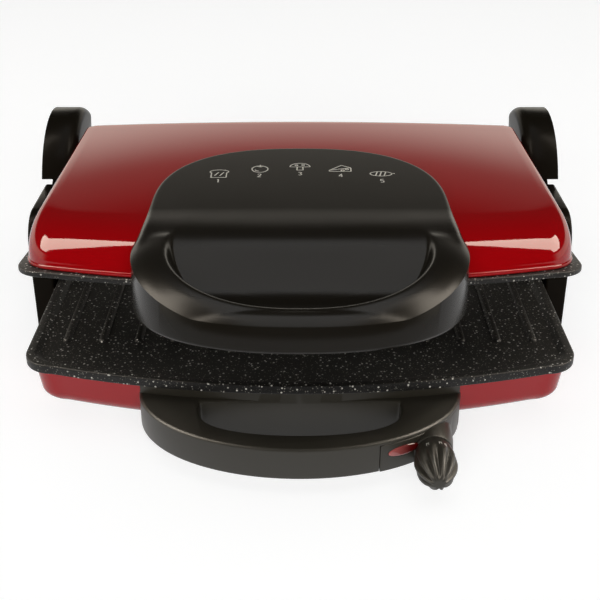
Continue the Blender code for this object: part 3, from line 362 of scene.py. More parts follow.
def stipple(material, shader, grain, height, detail=3.0):
    """A fine relief all over a surface, of one grain size and one depth."""
    place = add(material, "ShaderNodeTexCoord").outputs["Object"]
    noise = add(material, "ShaderNodeTexNoise", {"Vector": place, "Scale": 1 / grain, "Detail": detail})
    bump = add(material, "ShaderNodeBump", {"Height": noise.outputs["Fac"], "Strength": 1.0,
                                            "Distance": height})
    feed(material, shader, "Normal", bump.outputs["Normal"])
    return place


# Sprayed PTFE with mineral flakes: satin black, with pale specks half a millimetre to one and a half across
granite_coating, shader = finish_named("granite_nonstick_coating", "#100F0E", 0.5, Specular_IOR_Level=0.35)
place = stipple(granite_coating, shader, 0.8 * MM, 0.05 * MM)
tones = srgb("#100F0E")
for grain, reach, code in ((3.4 * MM, 0.21, "#C9C6BE"), (1.9 * MM, 0.24, "#77746D"),
                           (1.1 * MM, 0.24, "#45433F")):
    cells = add(granite_coating, "ShaderNodeTexVoronoi", {"Vector": place, "Scale": 1 / grain})
    speck = add(granite_coating, "ShaderNodeMapRange", {"Value": cells.outputs["Distance"], "From Min": reach,
                                                        "From Max": reach * 0.6})
    mix = add(granite_coating, "ShaderNodeMix", {0: speck.outputs["Result"], 6: tones, 7: srgb(code)},
              data_type="RGBA")
    tones = mix.outputs[2]
feed(granite_coating, shader, "Base Color", tones)


def grill_plate(name, y, level, rim):
    """A plate with its cooking face up: back, tray wall, rounded rim, sunk face, and rounded ribs."""
    under = level - rim
    floor_level = level - cook_recess
    rings = [raised([(0, y + plate_length / 2)] * len(plate_plan(y, 0)), floor_level - cook_thickness)]
    for inset, height in ((tray_inset + plate_middle, floor_level - cook_thickness),
                          (tray_inset + tray_wall, floor_level - cook_thickness),
                          (tray_inset + tray_wall, under - tray_depth)):
        rings.append(raised(plate_plan(y, inset), height))
    rings += [raised(plate_plan(y, tray_inset + rim_round), under - tray_depth),
              raised(plate_plan(y, tray_inset), under - tray_depth + rim_round),
              raised(plate_plan(y, tray_inset), under),
              raised(plate_plan(y, rim_round), under)]
    for a, b in arc(rim_round, under + rim_round, rim_round, -90, -180, 4):
        rings.append(raised(plate_plan(y, a), b))
    for a, b in arc(rim_round, level - rim_round, rim_round, 180, 90, 4):
        rings.append(raised(plate_plan(y, a), b))
    fall = rim_width + cook_recess
    for a, b in arc(rim_width - rim_round, level - rim_round, rim_round, 90, 45, 3):
        rings.append(raised(plate_plan(y, a), b))
    for a, b in arc(fall, floor_level + rim_round, rim_round, 225, 270, 3):
        rings.append(raised(plate_plan(y, a), b))
    rings.append(raised(plate_plan(y, fall + plate_middle), floor_level))
    rings.append(raised([(0, y + plate_length / 2)] * len(plate_plan(y, 0)), floor_level))
    plate = skin(name, rings)
    reach = plate_half_width - rim_width - rib_side_gap
    front = y - plate_corner + rib_front_gap
    rear = y + plate_length - rim_width - rib_rear_gap
    for i in range(rib_count):
        x = -reach + 2 * reach * i / (rib_count - 1)
        rings = [raised([(x, (front + rear) / 2)] * 34, floor_level - rim_round)]
        for half, height in ((rib_foot / 2, -rim_round), (rib_foot / 2 - 0.4 * MM, 0.25 * rib_height),
                             (rib_crown / 2 + 0.7 * MM, 0.75 * rib_height),
                             (rib_crown / 2 + 0.25 * MM, 0.94 * rib_height), (rib_crown / 2, rib_height)):
            ring = arc(x, rear - rib_foot / 2, half, 0, 180, 16)
            ring += arc(x, front + rib_foot / 2, half, 180, 360, 16)
            rings.append(raised(ring, floor_level + height))
        rings.append(raised([(x, (front + rear) / 2)] * 34, floor_level + rib_height))
        carve(plate, skin("rib", rings), "UNION")
    return plate


lower_plate = grill_plate("granite_lower_plate", plate_y, rim_top, lower_rim)
dress(lower_plate, granite_coating)
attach(lower_plate, "base")
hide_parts("lower_grill_plate")

upper_plate = grill_plate("granite_upper_plate", lid_y, rim_top, upper_rim)
turn_over = Matrix.Translation((0, 0, upper_rim_bottom + rim_top)) @ Matrix.Rotation(math.pi, 4, "Y")
upper_plate.data.transform(lid_place @ turn_over)
dress(upper_plate, granite_coating)
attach(upper_plate, "lid")
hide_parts("upper_grill_plate")

# Heating elements
# Under each plate lies a tubular element: a steel sheath that heat has turned dull brown-grey. The thermal
# fuse beside it has the same sheath.
heat_darkened_steel, shader = finish_named("heat_darkened_steel_sheath", "#6A6158", 0.45, 0.9)
place = stipple(heat_darkened_steel, shader, 0.6 * MM, 0.02 * MM)
clouds = add(heat_darkened_steel, "ShaderNodeTexNoise", {"Vector": place, "Scale": 1 / (22 * MM)})
mix = add(heat_darkened_steel, "ShaderNodeMix", {0: clouds.outputs["Fac"], 6: srgb("#5A4C42"),
                                                 7: srgb("#83807A")}, data_type="RGBA")
feed(heat_darkened_steel, shader, "Base Color", mix.outputs[2])
recoat(("lower_heating_element", "upper_heating_element", "thermal_fuse"), heat_darkened_steel)

# Heat reflectors and other inner pieces
# Rolled aluminium sheets behind the elements; a steatite terminal block, thermostat body and lamp.
rolled_aluminium, shader = finish_named("rolled_aluminium_sheet", "#C9CBCD", 0.32, 1.0)
place = add(rolled_aluminium, "ShaderNodeTexCoord").outputs["Object"]
drawn = add(rolled_aluminium, "ShaderNodeMapping", {"Vector": place, "Scale": (30, 2500, 2500)})
lines = add(rolled_aluminium, "ShaderNodeTexNoise", {"Vector": drawn.outputs[0], "Scale": 1.0})
gloss = add(rolled_aluminium, "ShaderNodeMapRange", {"Value": lines.outputs["Fac"], "To Min": 0.22,
                                                     "To Max": 0.42})
feed(rolled_aluminium, shader, "Roughness", gloss.outputs["Result"])
steatite, shader = finish_named("steatite_ceramic", "#DDD7C8", 0.55)
stipple(steatite, shader, 0.9 * MM, 0.04 * MM)
recoat(("lower_heat_reflector", "lid_heat_reflector"), rolled_aluminium)
recoat(("terminal_block", "thermostat_body", "neon_lamp"), steatite)

# Base shell
# A deep-drawn steel tub, sprayed and baked in red gloss enamel, with a rounded lower edge and an open top.
rim_bottom = rim_top - lower_rim
base_top = rim_bottom - seat_gap
shell_bottom = 12.0 * MM
base_side_inset = 3.5 * MM
base_front_inset = 9.0 * MM
base_rear_inset = 12.0 * MM
base_draft = 4.5 * MM
base_round = 12.0 * MM
base_corner = 14.0 * MM
base_wall = 2.5 * MM


def base_outline(share, inset):
    """The tub's outline at a share of its draft, drawn in by an inset."""
    side = base_side_inset + base_draft * share + inset
    front = base_front_inset + base_draft * share + inset
    rear = base_rear_inset + base_draft * share + inset
    return plan(plate_half_width - side, plate_y - plate_corner + front, plate_y + plate_length - rear,
                base_corner, base_corner, plate_bow)


def base_rings(inset, top, bottom):
    turn = base_round - inset
    rings = [raised(base_outline(0, inset), top)]
    for a, b in arc(turn, turn, turn, 180, 270, 12):
        rings.append(raised(base_outline(1 / 2, inset + a), bottom + b))
    return rings


# Polyester-epoxy enamel, sprayed and baked: a red ground under a clear glossy surface with faint orange peel
base_enamel, shader = finish_named("baked_base_enamel", "#A8141B", 0.4, Specular_IOR_Level=0.0,
                                   Coat_Weight=1.0, Coat_Roughness=0.05, Coat_IOR=1.45)
place = stipple(base_enamel, shader, 3.0 * MM, 0.010 * MM, 1.0)
tub = skin("drawn_base_tub", base_rings(0, base_top, shell_bottom)
           + base_rings(base_wall, base_top, shell_bottom + base_wall)[::-1], loop=True)
gland_x = 60.0 * MM
gland_z = rim_bottom - tray_depth - 0.6 * MM - 4.5 * MM
gland_hole = 4.8 * MM
rear_wall = plate_y + plate_length - base_rear_inset
carve(tub, prism("hole", circle(gland_x, gland_z, gland_hole, 48), rear_wall - 14 * MM,
                 rear_wall + 4 * MM, "Y"))
dress(tub, base_enamel)
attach(tub, "base")
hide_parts("base_shell")

# Black mouldings
# All of them are injection-moulded in glass-filled black thermoplastic, from tools with a fine spark-eroded
# grain, which leaves them satin.
black_plastic, shader = finish_named("moulded_black_thermoplastic", "#2C2922", 0.40, Specular_IOR_Level=0.6)
place = stipple(black_plastic, shader, 0.45 * MM, 0.010 * MM)
haze = add(black_plastic, "ShaderNodeTexNoise", {"Vector": place, "Scale": 1 / (30 * MM), "Detail": 2.0})
gloss = add(black_plastic, "ShaderNodeMapRange", {"Value": haze.outputs["Fac"], "To Min": 0.37,
                                                  "To Max": 0.47})
feed(black_plastic, shader, "Roughness", gloss.outputs["Result"])

# the lid's handle, the hooks and the towers come from a more finely polished tool
hood_plastic, hood_shader = finish_named("moulded_hood_thermoplastic", "#17140F", 0.24,
                                         Specular_IOR_Level=0.17)
place = stipple(hood_plastic, hood_shader, 0.45 * MM, 0.008 * MM)
haze = add(hood_plastic, "ShaderNodeTexNoise", {"Vector": place, "Scale": 1 / (30 * MM), "Detail": 2.0})
gloss = add(hood_plastic, "ShaderNodeMapRange", {"Value": haze.outputs["Fac"], "To Min": 0.22,
                                                 "To Max": 0.27})
feed(hood_plastic, hood_shader, "Roughness", gloss.outputs["Result"])

# Underside
# One flat moulding closes the tub: vents below the element, two front legs, and screws up into its posts.
recoat(("bottom_cover", "control_cover", "lid_handle_cover", "cord_gland", "slide_bush_left",
        "slide_bush_right"), black_plastic)

# Feet
# Moulded rubber pads pushed up into the legs; they spread a little towards the table.
foot_rubber, shader = finish_named("moulded_rubber", "#1B1B1B", 0.85)
stipple(foot_rubber, shader, 0.7 * MM, 0.06 * MM)
for name in ("front_foot_left", "front_foot_right", "rear_foot_left", "rear_foot_right"):
    low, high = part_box(name)
    x, y = (low.x + high.x) / 2, (low.y + high.y) / 2
    radius = (high.x - low.x) / 2
    rings = [[(x, y, 0)] * 48]
    for width, height in ((radius - 0.5 * MM, 0), (radius - 0.1 * MM, 0.2 * MM), (radius, 0.6 * MM),
                          (radius - 0.2 * MM, 1.1 * MM), (radius - 1.5 * MM, high.z)):
        rings.append(raised(circle(x, y, width, 48), height))
    rings.append([(x, y, high.z)] * 48)
    pad = skin("rubber_" + name, rings)
    dress(pad, foot_rubber)
    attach(pad, "base")
    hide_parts(name)

# Hinge towers
# Upright cheeks outside the plates carry the floating hinge: a bush slides in a long slot in each.
tower_inner = plate_half_width + 3.0 * MM
tower_outer = tower_inner + 15.0 * MM
tower_front = plate_y + 98.0 * MM
tower_top = 96.0 * MM
tower_nose = 22.0 * MM
tower_round = 1.8 * MM
leg_bottom = 4.0 * MM
axis_y_closed = 137.6 * MM
axis_z_closed = rim_top + 1.0 * MM - upper_rim_bottom
float_lift = 25.6 * MM
float_back = 6.6 * MM
ear_depth = 10.0 * MM
ear_rise = 1.5 * MM
ear_top = 40.0 * MM
ear_front = 110.0 * MM
ear_rear = 190.0 * MM
slot_radius = 6.3 * MM
slot_high = 28.9 * MM
slot_low = -0.3 * MM
head_gap = 3.5 * MM
notch_gap = 3.0 * MM
notch_depth = 12.5 * MM
tail = 45.6 * MM
cover_radius = 63.0 * MM
cover_wall = 2.5 * MM
cover_front_angle = 26.0
cover_rear_angle = 120.0


def between(side, near, far):
    """The two places across the grill, in rising order, for a piece on one side."""
    return sorted((side * near, side * far))


def tower_outline():
    """Side view: tall and rounded in front, a slanting back where the hook drops in, and a round head."""
    head = cover_radius - cover_wall - head_gap
    angle = math.radians(cover_front_angle) - rest_tilt
    low_y = axis_y_closed - cover_radius * math.cos(angle)
    low_z = axis_z_closed + cover_radius * math.sin(angle)
    slope = float_back / float_lift
    floor_z = low_z - notch_depth
    top_y = low_y - notch_gap + slope * (tower_top - low_z)
    floor_y = low_y - notch_gap + slope * (floor_z - low_z)
    outline = [(tower_front, leg_bottom)]
    outline += arc(tower_front + tower_nose, tower_top - tower_nose, tower_nose, 180, 90, 16)
    outline += [(top_y, tower_top), (floor_y, floor_z)]
    start = 180 - math.degrees(math.asin((floor_z - axis_z_closed) / head))
    outline += arc(axis_y_closed, axis_z_closed, head, start, math.degrees(math.acos(tail / head)), 40)
    drop = math.sqrt(head ** 2 - tail ** 2)
    heel = math.sqrt(head ** 2 - (axis_z_closed - leg_bottom) ** 2)
    return outline + [(axis_y_closed + tail, axis_z_closed - drop), (axis_y_closed + heel, leg_bottom)]


def slot_outline():
    """The bush's way up: a long hole that leans back."""
    lean = math.degrees(math.atan2(float_lift, float_back))
    slope = float_back / float_lift
    outline = []
    for height, start in ((slot_high, lean - 90), (slot_low, lean + 90)):
        outline += arc(axis_y_closed + slope * height, axis_z_closed + height, slot_radius, start,
                       start + 180, 24)
    return outline


base_form = [raised([(0, 0)] * len(base_outline(0, 0)), base_top + overrun)]
base_form += [raised(base_outline(0, -seat_gap), base_top + overrun)]
base_form += base_rings(-seat_gap, base_top, shell_bottom - seat_gap)
base_form += [raised([(0, 0)] * len(base_outline(0, 0)), shell_bottom - seat_gap)]
for side, label in ((-1, "left"), (1, "right")):
    tower = prism("moulded_tower_" + label, tower_outline(), *between(side, tower_inner, tower_outer), "X")
    soften(tower, tower_round, 4, 25)
    start, end = between(side, plate_half_width - base_side_inset - ear_depth,
                         tower_inner + tower_round + overrun)
    low, near, far = shell_bottom + ear_rise, plate_y + ear_front, plate_y + ear_rear
    ear = prism("ear", [(near, low), (far, low), (far, ear_top), (near, ear_top)], start, end, "X")
    soften(ear, 1.0 * MM)
    carve(tower, ear, "UNION")
    carve(tower, skin("form", base_form))
    start, end = between(side, tower_inner - overrun, tower_outer + overrun)
    carve(tower, prism("slot", slot_outline(), start, end, "X"))
    dress(tower, hood_plastic)
    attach(tower, "base")
    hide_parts("hinge_tower_" + label)

# Hinge rod
# A zinc-plated steel rod runs right across under the lid's rear edge; the lid turns on it.
zinc_plate, shader = finish_named("zinc_plated_steel", "#B6B8BC", 0.28, 1.0)
place = stipple(zinc_plate, shader, 1.2 * MM, 0.008 * MM)
low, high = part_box("hinge_rod")
bpy.ops.object.select_all(action="DESELECT")
bpy.ops.mesh.primitive_cylinder_add(vertices=64, radius=(high.z - low.z) / 2, depth=high.x - low.x,
                                    location=(low + high) / 2, rotation=(0, math.pi / 2, 0))
rod = bpy.context.object
rod.name = "ground_hinge_rod"
bpy.ops.object.transform_apply(location=True, rotation=True, scale=True)
soften(rod, 0.6 * MM, 3)
dress(rod, zinc_plate)
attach(rod, "carriage")
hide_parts("hinge_rod")
recoat(("thermostat_shaft",), zinc_plate)

# Hinge hooks
# Each arm wears a moulded cover, a sector of a drum, that hooks over the tower's head as the lid comes down.
arm_outer = tower_inner - running_gap
hook_inner = arm_outer - 5.2 * MM
cheek_inner = tower_outer + running_gap
cheek_outer = cheek_inner + 2.9 * MM
arm_boss = 11.0 * MM
arm_heel = 14.0 * MM
arm_floor = 13.0 * MM
arm_radius = 52.4 * MM
arm_bore = 4.3 * MM
shoulder = 7.0 * MM
shoulder_drop = 3.0 * MM
shoulder_spread = 6.0 * MM
# the hook's hollow: how far in from its inner face, and how wide there
hook_room = ((1.2 * MM, 52.8 * MM), (2.4 * MM, 56.0 * MM), (4.4 * MM, 58.6 * MM), (7.6 * MM, 60.5 * MM),
             (cheek_inner - hook_inner, 60.5 * MM))
tongue = ((-46.0 * MM, 24.0 * MM), (-28.0 * MM, 24.0 * MM), (-28.0 * MM, 29.0 * MM), (-46.0 * MM, 29.0 * MM))
tongue_room = ((-46.3 * MM, 23.7 * MM), (-27.7 * MM, 23.7 * MM), (-27.7 * MM, 29.3 * MM),
               (-46.3 * MM, 29.3 * MM))


def arm_outline(radius):
    """Side view about the hinge axis: a round boss below a sector of a disc."""
    tilt = math.degrees(rest_tilt)
    outline = arc(0, 0, radius, 180 - cover_front_angle + tilt, 180 - cover_rear_angle + tilt, 48)
    return outline + arc(0, 0, arm_boss, 20, -180, 28) + [(-arm_heel, arm_floor)]


def hook_rings(side):
    """Slices of a hook from its inner face out; the inner shoulder is rounded, most of all in front."""
    full = arm_outline(cover_radius)
    middle = (-20.0 * MM, 30.0 * MM)
    rings = [[(side * hook_inner, *middle)] * len(full)]
    for step in range(9):
        angle = math.pi / 2 * step / 8
        ring = []
        for y, z in full:
            front = max(0.0, min(1.0, (math.degrees(math.atan2(z, y)) - 90) / 50))
            reach = math.hypot(y, z)
            drop = 0
            if reach > cover_radius - 1 * MM:
                drop = (shoulder + shoulder_drop * front) * (1 - math.sin(angle))
            x = hook_inner + (shoulder + shoulder_spread * front) * (1 - math.cos(angle))
            ring.append((side * x, y * (1 - drop / reach), z * (1 - drop / reach)))
        rings.append(ring)
    rings.append([(side * cheek_outer, y, z) for y, z in full])
    rings.append([(side * cheek_outer, *middle)] * len(full))
    return rings


for side, label in ((-1, "left"), (1, "right")):
    hook = skin("moulded_hook_" + label, hook_rings(side))
    soften(hook, 1.8 * MM, 4, 32)
    room = [[(side * (hook_inner + hook_room[0][0]), 0, 0)] * 120]
    for along, radius in hook_room:
        room.append([(side * (hook_inner + along), a, b) for a, b in circle(0, 0, radius, 120)])
    room.append([(side * cheek_inner, 0, 0)] * 120)
    carve(hook, skin("room", room))
    wall = between(side, hook_inner - overrun, hook_inner + 3 * MM)
    carve(hook, prism("bore", circle(0, 0, arm_bore, 48), *wall, "X"))
    carve(hook, prism("gap", tongue_room, *wall, "X"))
    hook.data.transform(lid_place)
    dress(hook, hood_plastic)
    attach(hook, "lid")
    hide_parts("hinge_cover_" + label)

# Hinge arms
# Flat grey die-cast arms swing on the rod inside the hooks; a tongue on each is screwed under the lid.
cast_alloy, shader = finish_named("die_cast_alloy", "#77777A", 0.5, 0.85)
stipple(cast_alloy, shader, 1.0 * MM, 0.05 * MM)
for side, label in ((-1, "left"), (1, "right")):
    arm = prism("cast_arm_" + label, arm_outline(arm_radius),
                *between(side, hook_inner + 1.5 * MM, arm_outer), "X")
    soften(arm, 0.6 * MM, 2, 25)
    carve(arm, prism("tongue", tongue, *between(side, 150.0 * MM, arm_outer - 1 * MM), "X"), "UNION")
    carve(arm, prism("bore", circle(0, 0, arm_bore, 48), *between(side, 160 * MM, 180 * MM), "X"))
    arm.data.transform(lid_place)
    dress(arm, cast_alloy)
    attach(arm, "lid")
    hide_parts("hinge_arm_" + label)

# Lid
# One deep-drawn steel pressing in deep red gloss enamel. A small rolled hem stiffens its lower edge. A slot
# in each side takes the arm's tongue.
lid_bottom = parting_rise + 0.8 * MM
lid_side_inset = 5.0 * MM
lid_front_inset = 1.8 * MM
lid_rear_inset = 4.0 * MM
lid_corner = 24.0 * MM
lid_wall = 2.2 * MM
lid_nose = 34.0 * MM
lid_side_round = 6.5 * MM
lid_rear_round = 12.0 * MM
lid_rear_corner = 7.0 * MM
lid_front_height = 24.0 * MM
lid_top_slope = 0.11
lid_crown = 3.5 * MM
lid_fullness = 2.7
hem_height = 2.6 * MM
hem_bulge = 0.7 * MM


def smooth(share):
    """An even change from 0 to 1 that starts and ends level."""
    share = min(1, max(0, share))
    return share * share * (3 - 2 * share)


def lid_top(x, y):
    """Height of the lid's top over the parting plane; it climbs to the rear and falls to the sides."""
    climb = lid_front_height + lid_top_slope * (y - lid_y)
    return climb + lid_crown * (1 - (x / plate_half_width) ** 2)


def lid_ring(inset, turn):
    """The lid's outline at a share of the way from its lower edge over its rounded shoulder."""
    angle = math.pi / 2 * turn
    rise = math.sin(angle) ** (2 / lid_fullness)
    draw = 1 - math.cos(angle) ** (2 / lid_fullness) if turn < 1 else 1
    side = lid_side_inset + inset + lid_side_round * draw
    front = lid_front_inset + inset + lid_nose * draw
    rear = lid_rear_inset + inset + lid_rear_round * draw
    corner = lid_corner + (lid_nose - lid_corner) * draw
    half_width = plate_half_width - side
    bow = plate_bow * (1 - draw / 3)
    join = 0.0
    for _ in range(8):
        reach = half_width - corner * (1 - math.sin(join))
        join = math.atan(2 * bow * reach / (half_width - corner) ** 2)
    outline = plan(half_width, lid_y - plate_corner + front, lid_y + plate_length - rear,
                   corner, lid_rear_corner, bow, join)
    bottom = lid_bottom - parting_rise
    return [(x, y, parting_rise + bottom + (lid_top(x, y) - inset - bottom) * rise) for x, y in outline]


def lid_rings(inset, turns, crowns):
    """Rings from the lid's lower edge to the middle of its top."""
    rings = [lid_ring(inset, turn) for turn in turns]
    middle = lid_y + plate_length / 2
    last = rings[-1]
    for share in crowns:
        ring = []
        for x, y, _ in last:
            a = x * share
            b = middle + (y - middle) * share
            ring.append((a, b, parting_rise + lid_top(a, b) - inset))
        rings.append(ring)
    return rings


# Polyester-epoxy enamel, sprayed and baked: a deep red ground under a clear glossy surface, with the faint
# orange peel of sprayed paint; the ripples are drawn three millimetres across
lid_enamel, shader = finish_named("baked_lid_enamel", "#A4030A", 0.40, Specular_IOR_Level=0.0,
                                  Coat_Weight=1.0, Coat_Roughness=0.04, Coat_IOR=1.45)
place = stipple(lid_enamel, shader, 3.0 * MM, 0.010 * MM, 1.0)
turns = [0.0, 0.004] + [i / 26 for i in range(1, 27)]
crowns = [0.97, 0.94, 0.9, 0.86, 0.8, 0.72, 0.64, 0.56, 0.48, 0.4, 0.3, 0.2, 0.1, 0.0]
outer = lid_rings(0, turns, crowns)
hem = []
for a, b in arc(0, hem_height / 2, 1.0, -90, 90, 10):
    share = a * hem_bulge
    height = lid_bottom + hem_height / 2 + (b - hem_height / 2) * hem_height / 2
    hem.append([(x, y, height) for x, y, _ in lid_ring(-share, 0)])
outer = hem + [ring for ring in outer if ring[0][2] > lid_bottom + hem_height]
inner = lid_rings(lid_wall, turns[::3], [0.9, 0.8, 0.6, 0.4, 0.2, 0.0])
pressing = skin("pressed_lid", inner[::-1] + outer)
for side in (-1, 1):
    carve(pressing, prism("slot", tongue_room, *between(side, 140.0 * MM, 172.0 * MM), "X"))
pressing.data.transform(lid_place)
dress(pressing, lid_enamel)
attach(pressing, "lid")
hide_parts("lid_shell")

# Lid handle
# One deep black moulding over the front of the lid: a flat top that carries on the lid's line, a bend, a
# scoop for the fingers, and a thick raised rim round the front that is the grip.
grip_half_width = 98.0 * MM
grip_front = 108.0 * MM
grip_centre = 25.0 * MM
grip_widest = 48.0 * MM
grip_bottom = 15.0 * MM
hood_half_width = 93.5 * MM
hood_centre = 30.0 * MM
hood_rear = 130.5 * MM
hood_fullness = 2.5
hood_bend = 8.0 * MM
hood_bend_height = 29.6 * MM
scoop_front = 72.0 * MM
scoop_drop = 22.0 * MM
scoop_power = 2.2
hood_edge = 7.0 * MM
hood_rear_edge = 2.5 * MM
hood_skin = 0.9 * MM
crest_inset = 11.5 * MM
crest_front_height = 5.5 * MM
crest_side_height = 25.0 * MM
crest_side = 12.0 * MM
crest_drop = 5.0 * MM
crest_inner = 19.0 * MM
horn_inset = 24.0 * MM
horn_rear = 25.0 * MM
horn_round = 24.0 * MM
horn_fall = 18.0 * MM
horn_end = 40.0 * MM
grip_fullness = 2.3
crest_foot = 12.0 * MM
ridge_blend = 3.0 * MM
crest_power = 1.8
blend = 3.0 * MM
grip_wall = 4.0 * MM
grip_pocket = 6.0 * MM
grip_round = 3.0 * MM


def blend_over(low, high):
    """The higher of two heights, with a soft change from one to the other."""
    gap = low - high
    return (low + high + math.sqrt(gap ** 2 + blend ** 2) - blend) / 2


def nose_height(x, y):
    """Height of the lid's outer face over the parting plane, near its front edge."""
    straight = plate_half_width - plate_corner
    front = lid_front_inset - plate_corner - plate_bow * (1 - (x / straight) ** 2)
    share = min(1, max(0, (y - front) / lid_nose))
    return lid_top(x, lid_y + y) * (1 - (1 - share) ** lid_fullness) ** (1 / lid_fullness)


def hood_outline():
    """The handle from above: an elliptic grip in front and a fuller arch behind, points from the front."""
    half = []
    steps = 44
    depth = grip_front - grip_centre
    for i in range(steps):
        angle = math.pi / 2 * i / steps
        y = -grip_centre - depth * math.cos(angle) ** (2 / grip_fullness)
        draw = smooth((y + grip_widest) / (hood_centre + grip_widest))
        x = grip_half_width * math.sin(angle) ** (2 / grip_fullness)
        half.append((x - (grip_half_width - hood_half_width) * draw, y))
    for i in range(14):
        y = -grip_centre + (hood_centre + grip_centre) * i / 14
        draw = smooth((y + grip_widest) / (hood_centre + grip_widest))
        half.append((grip_half_width - (grip_half_width - hood_half_width) * draw, y))
    steps = 40
    for i in range(steps):
        angle = math.pi / 2 * i / steps
        x = hood_half_width * math.cos(angle) ** (2 / hood_fullness)
        half.append((x, hood_centre + (hood_rear - hood_centre) * math.sin(angle) ** (2 / hood_fullness)))
    half.append((0, hood_rear))
    return half + [(-x, y) for x, y in half[-2:0:-1]]


def hood_height(x, y, inset):
    """Height of the handle over the parting plane: a flat top, a scoop, and a raised rim that is the grip."""
    height = hood_bend_height + lid_top_slope * (y - hood_bend)
    if y < hood_bend:
        share = min(1, (hood_bend - y) / (scoop_front + hood_bend))
        height -= scoop_drop * smooth(share) ** scoop_power
    height = blend_over(height, nose_height(x, y) + hood_skin)
    edge = hood_edge + (hood_rear_edge - hood_edge) * smooth((y + grip_centre) / (hood_centre + grip_centre))
    if inset < edge:
        height -= edge - math.sqrt(edge ** 2 - (edge - inset) ** 2)
    reach = grip_front - crest_inset
    share = min(1, max(0, (y + reach) / (reach - crest_side)))
    climb = 1 - (1 - share) ** crest_power
    crest = crest_front_height + (crest_side_height - crest_front_height) * climb
    width = crest_inset + (horn_inset - crest_inset) * share
    if inset < width:
        ridge = crest - crest_drop * (1 - inset / width) ** 2
    else:
        ridge = crest - (crest + crest_foot) * smooth((inset - width) / crest_inner)
    ridge -= horn_fall * smooth((y + horn_rear) / horn_round) + horn_end * smooth(y / horn_round)
    return (height + ridge + math.sqrt((height - ridge) ** 2 + ridge_blend ** 2)) / 2


def hood_rings():
    """The handle's upper face, from its outline in to its middle."""
    outline = hood_outline()
    centre_y = (hood_rear - grip_front) / 2
    insets = [hood_edge * (1 - math.cos(math.pi / 2 * i / 10)) for i in range(11)]
    insets += [hood_edge + (crest_inset - hood_edge) * i / 4 for i in range(1, 5)]
    insets += [crest_inset + (horn_inset + crest_inner - crest_inset) * i / 26 for i in range(1, 27)]
    rings = []
    for inset in insets:
        ring = []
        for x, y in outline:
            share = 1 - inset / math.hypot(x, y - centre_y)
            a = x * share
            b = centre_y + (y - centre_y) * share
            ring.append((a, lid_y + b, parting_rise + hood_height(a, b, inset)))
        rings.append(ring)
    last = rings[-1]
    for i in range(1, 21):
        share = 1 - i / 20
        ring = []
        for x, y, _ in last:
            b = centre_y + (y - lid_y - centre_y) * share
            ring.append((x * share, lid_y + b, parting_rise + hood_height(x * share, b, grip_front)))
        rings.append(ring)
    return rings


def grip_plan(inset):
    """The underside of the grip from below, in front of the plate's rim."""
    rear = lid_y - plate_corner - plate_bow - grip_wall - inset
    depth = grip_front - grip_centre - inset
    turn = math.acos((lid_y - grip_centre - rear) / depth)
    points = []
    for i in range(61):
        angle = -turn + 2 * turn * i / 60
        points.append(((grip_half_width - inset) * math.sin(angle),
                       lid_y - grip_centre - depth * math.cos(angle)))
    return points


# behind the bend the moulding is nearly matt; hands have polished the scoop and the grip a little
bend_place = lid_place @ Vector((0, lid_y + hood_bend, parting_rise + hood_bend_height))
spot = add(hood_plastic, "ShaderNodeTexCoord").outputs["Object"]
split = add(hood_plastic, "ShaderNodeSeparateXYZ", {"Vector": spot})
sheen = add(hood_plastic, "ShaderNodeMapRange", {"Value": split.outputs["Y"],
                                                 "From Min": bend_place.y - 4 * MM,
                                                 "From Max": bend_place.y + 8 * MM,
                                                 "To Min": 0.17, "To Max": 0.03})
feed(hood_plastic, hood_shader, "Specular IOR Level", sheen.outputs["Result"])
rings = hood_rings()
low = parting_rise - grip_bottom
lower = [[(0, lid_y + (hood_rear - grip_front) / 2, low)] * len(rings[0])]
for a, b in arc(grip_round, grip_round, grip_round, 270, 180, 6):
    shrink = 1 - a / grip_front
    lower.append([(x * shrink, lid_y + (y - lid_y) * shrink, low + b) for x, y, _ in rings[0]])
hood = skin("moulded_hood", lower + rings)
lid_form = lid_rings(-seat_gap, turns[::2], crowns)
room = [(x, y, low - overrun) for x, y, _ in lid_form[0]]
middle = [(0, lid_y + plate_length / 2, low - overrun)] * len(room)
carve(hood, skin("lid_form", [middle, room] + lid_form))
rim_form = plan(plate_half_width + running_gap, lid_y - plate_corner - running_gap, lid_y + plate_length,
                plate_corner, plate_rear_corner, plate_bow)
carve(hood, prism("rim_form", rim_form, low - overrun, lid_bottom + running_gap))
carve(hood, prism("pocket", grip_plan(grip_wall), low - overrun, low + grip_pocket))
hood.data.transform(lid_place)
dress(hood, hood_plastic, 40)
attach(hood, "lid")
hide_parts("lid_handle")

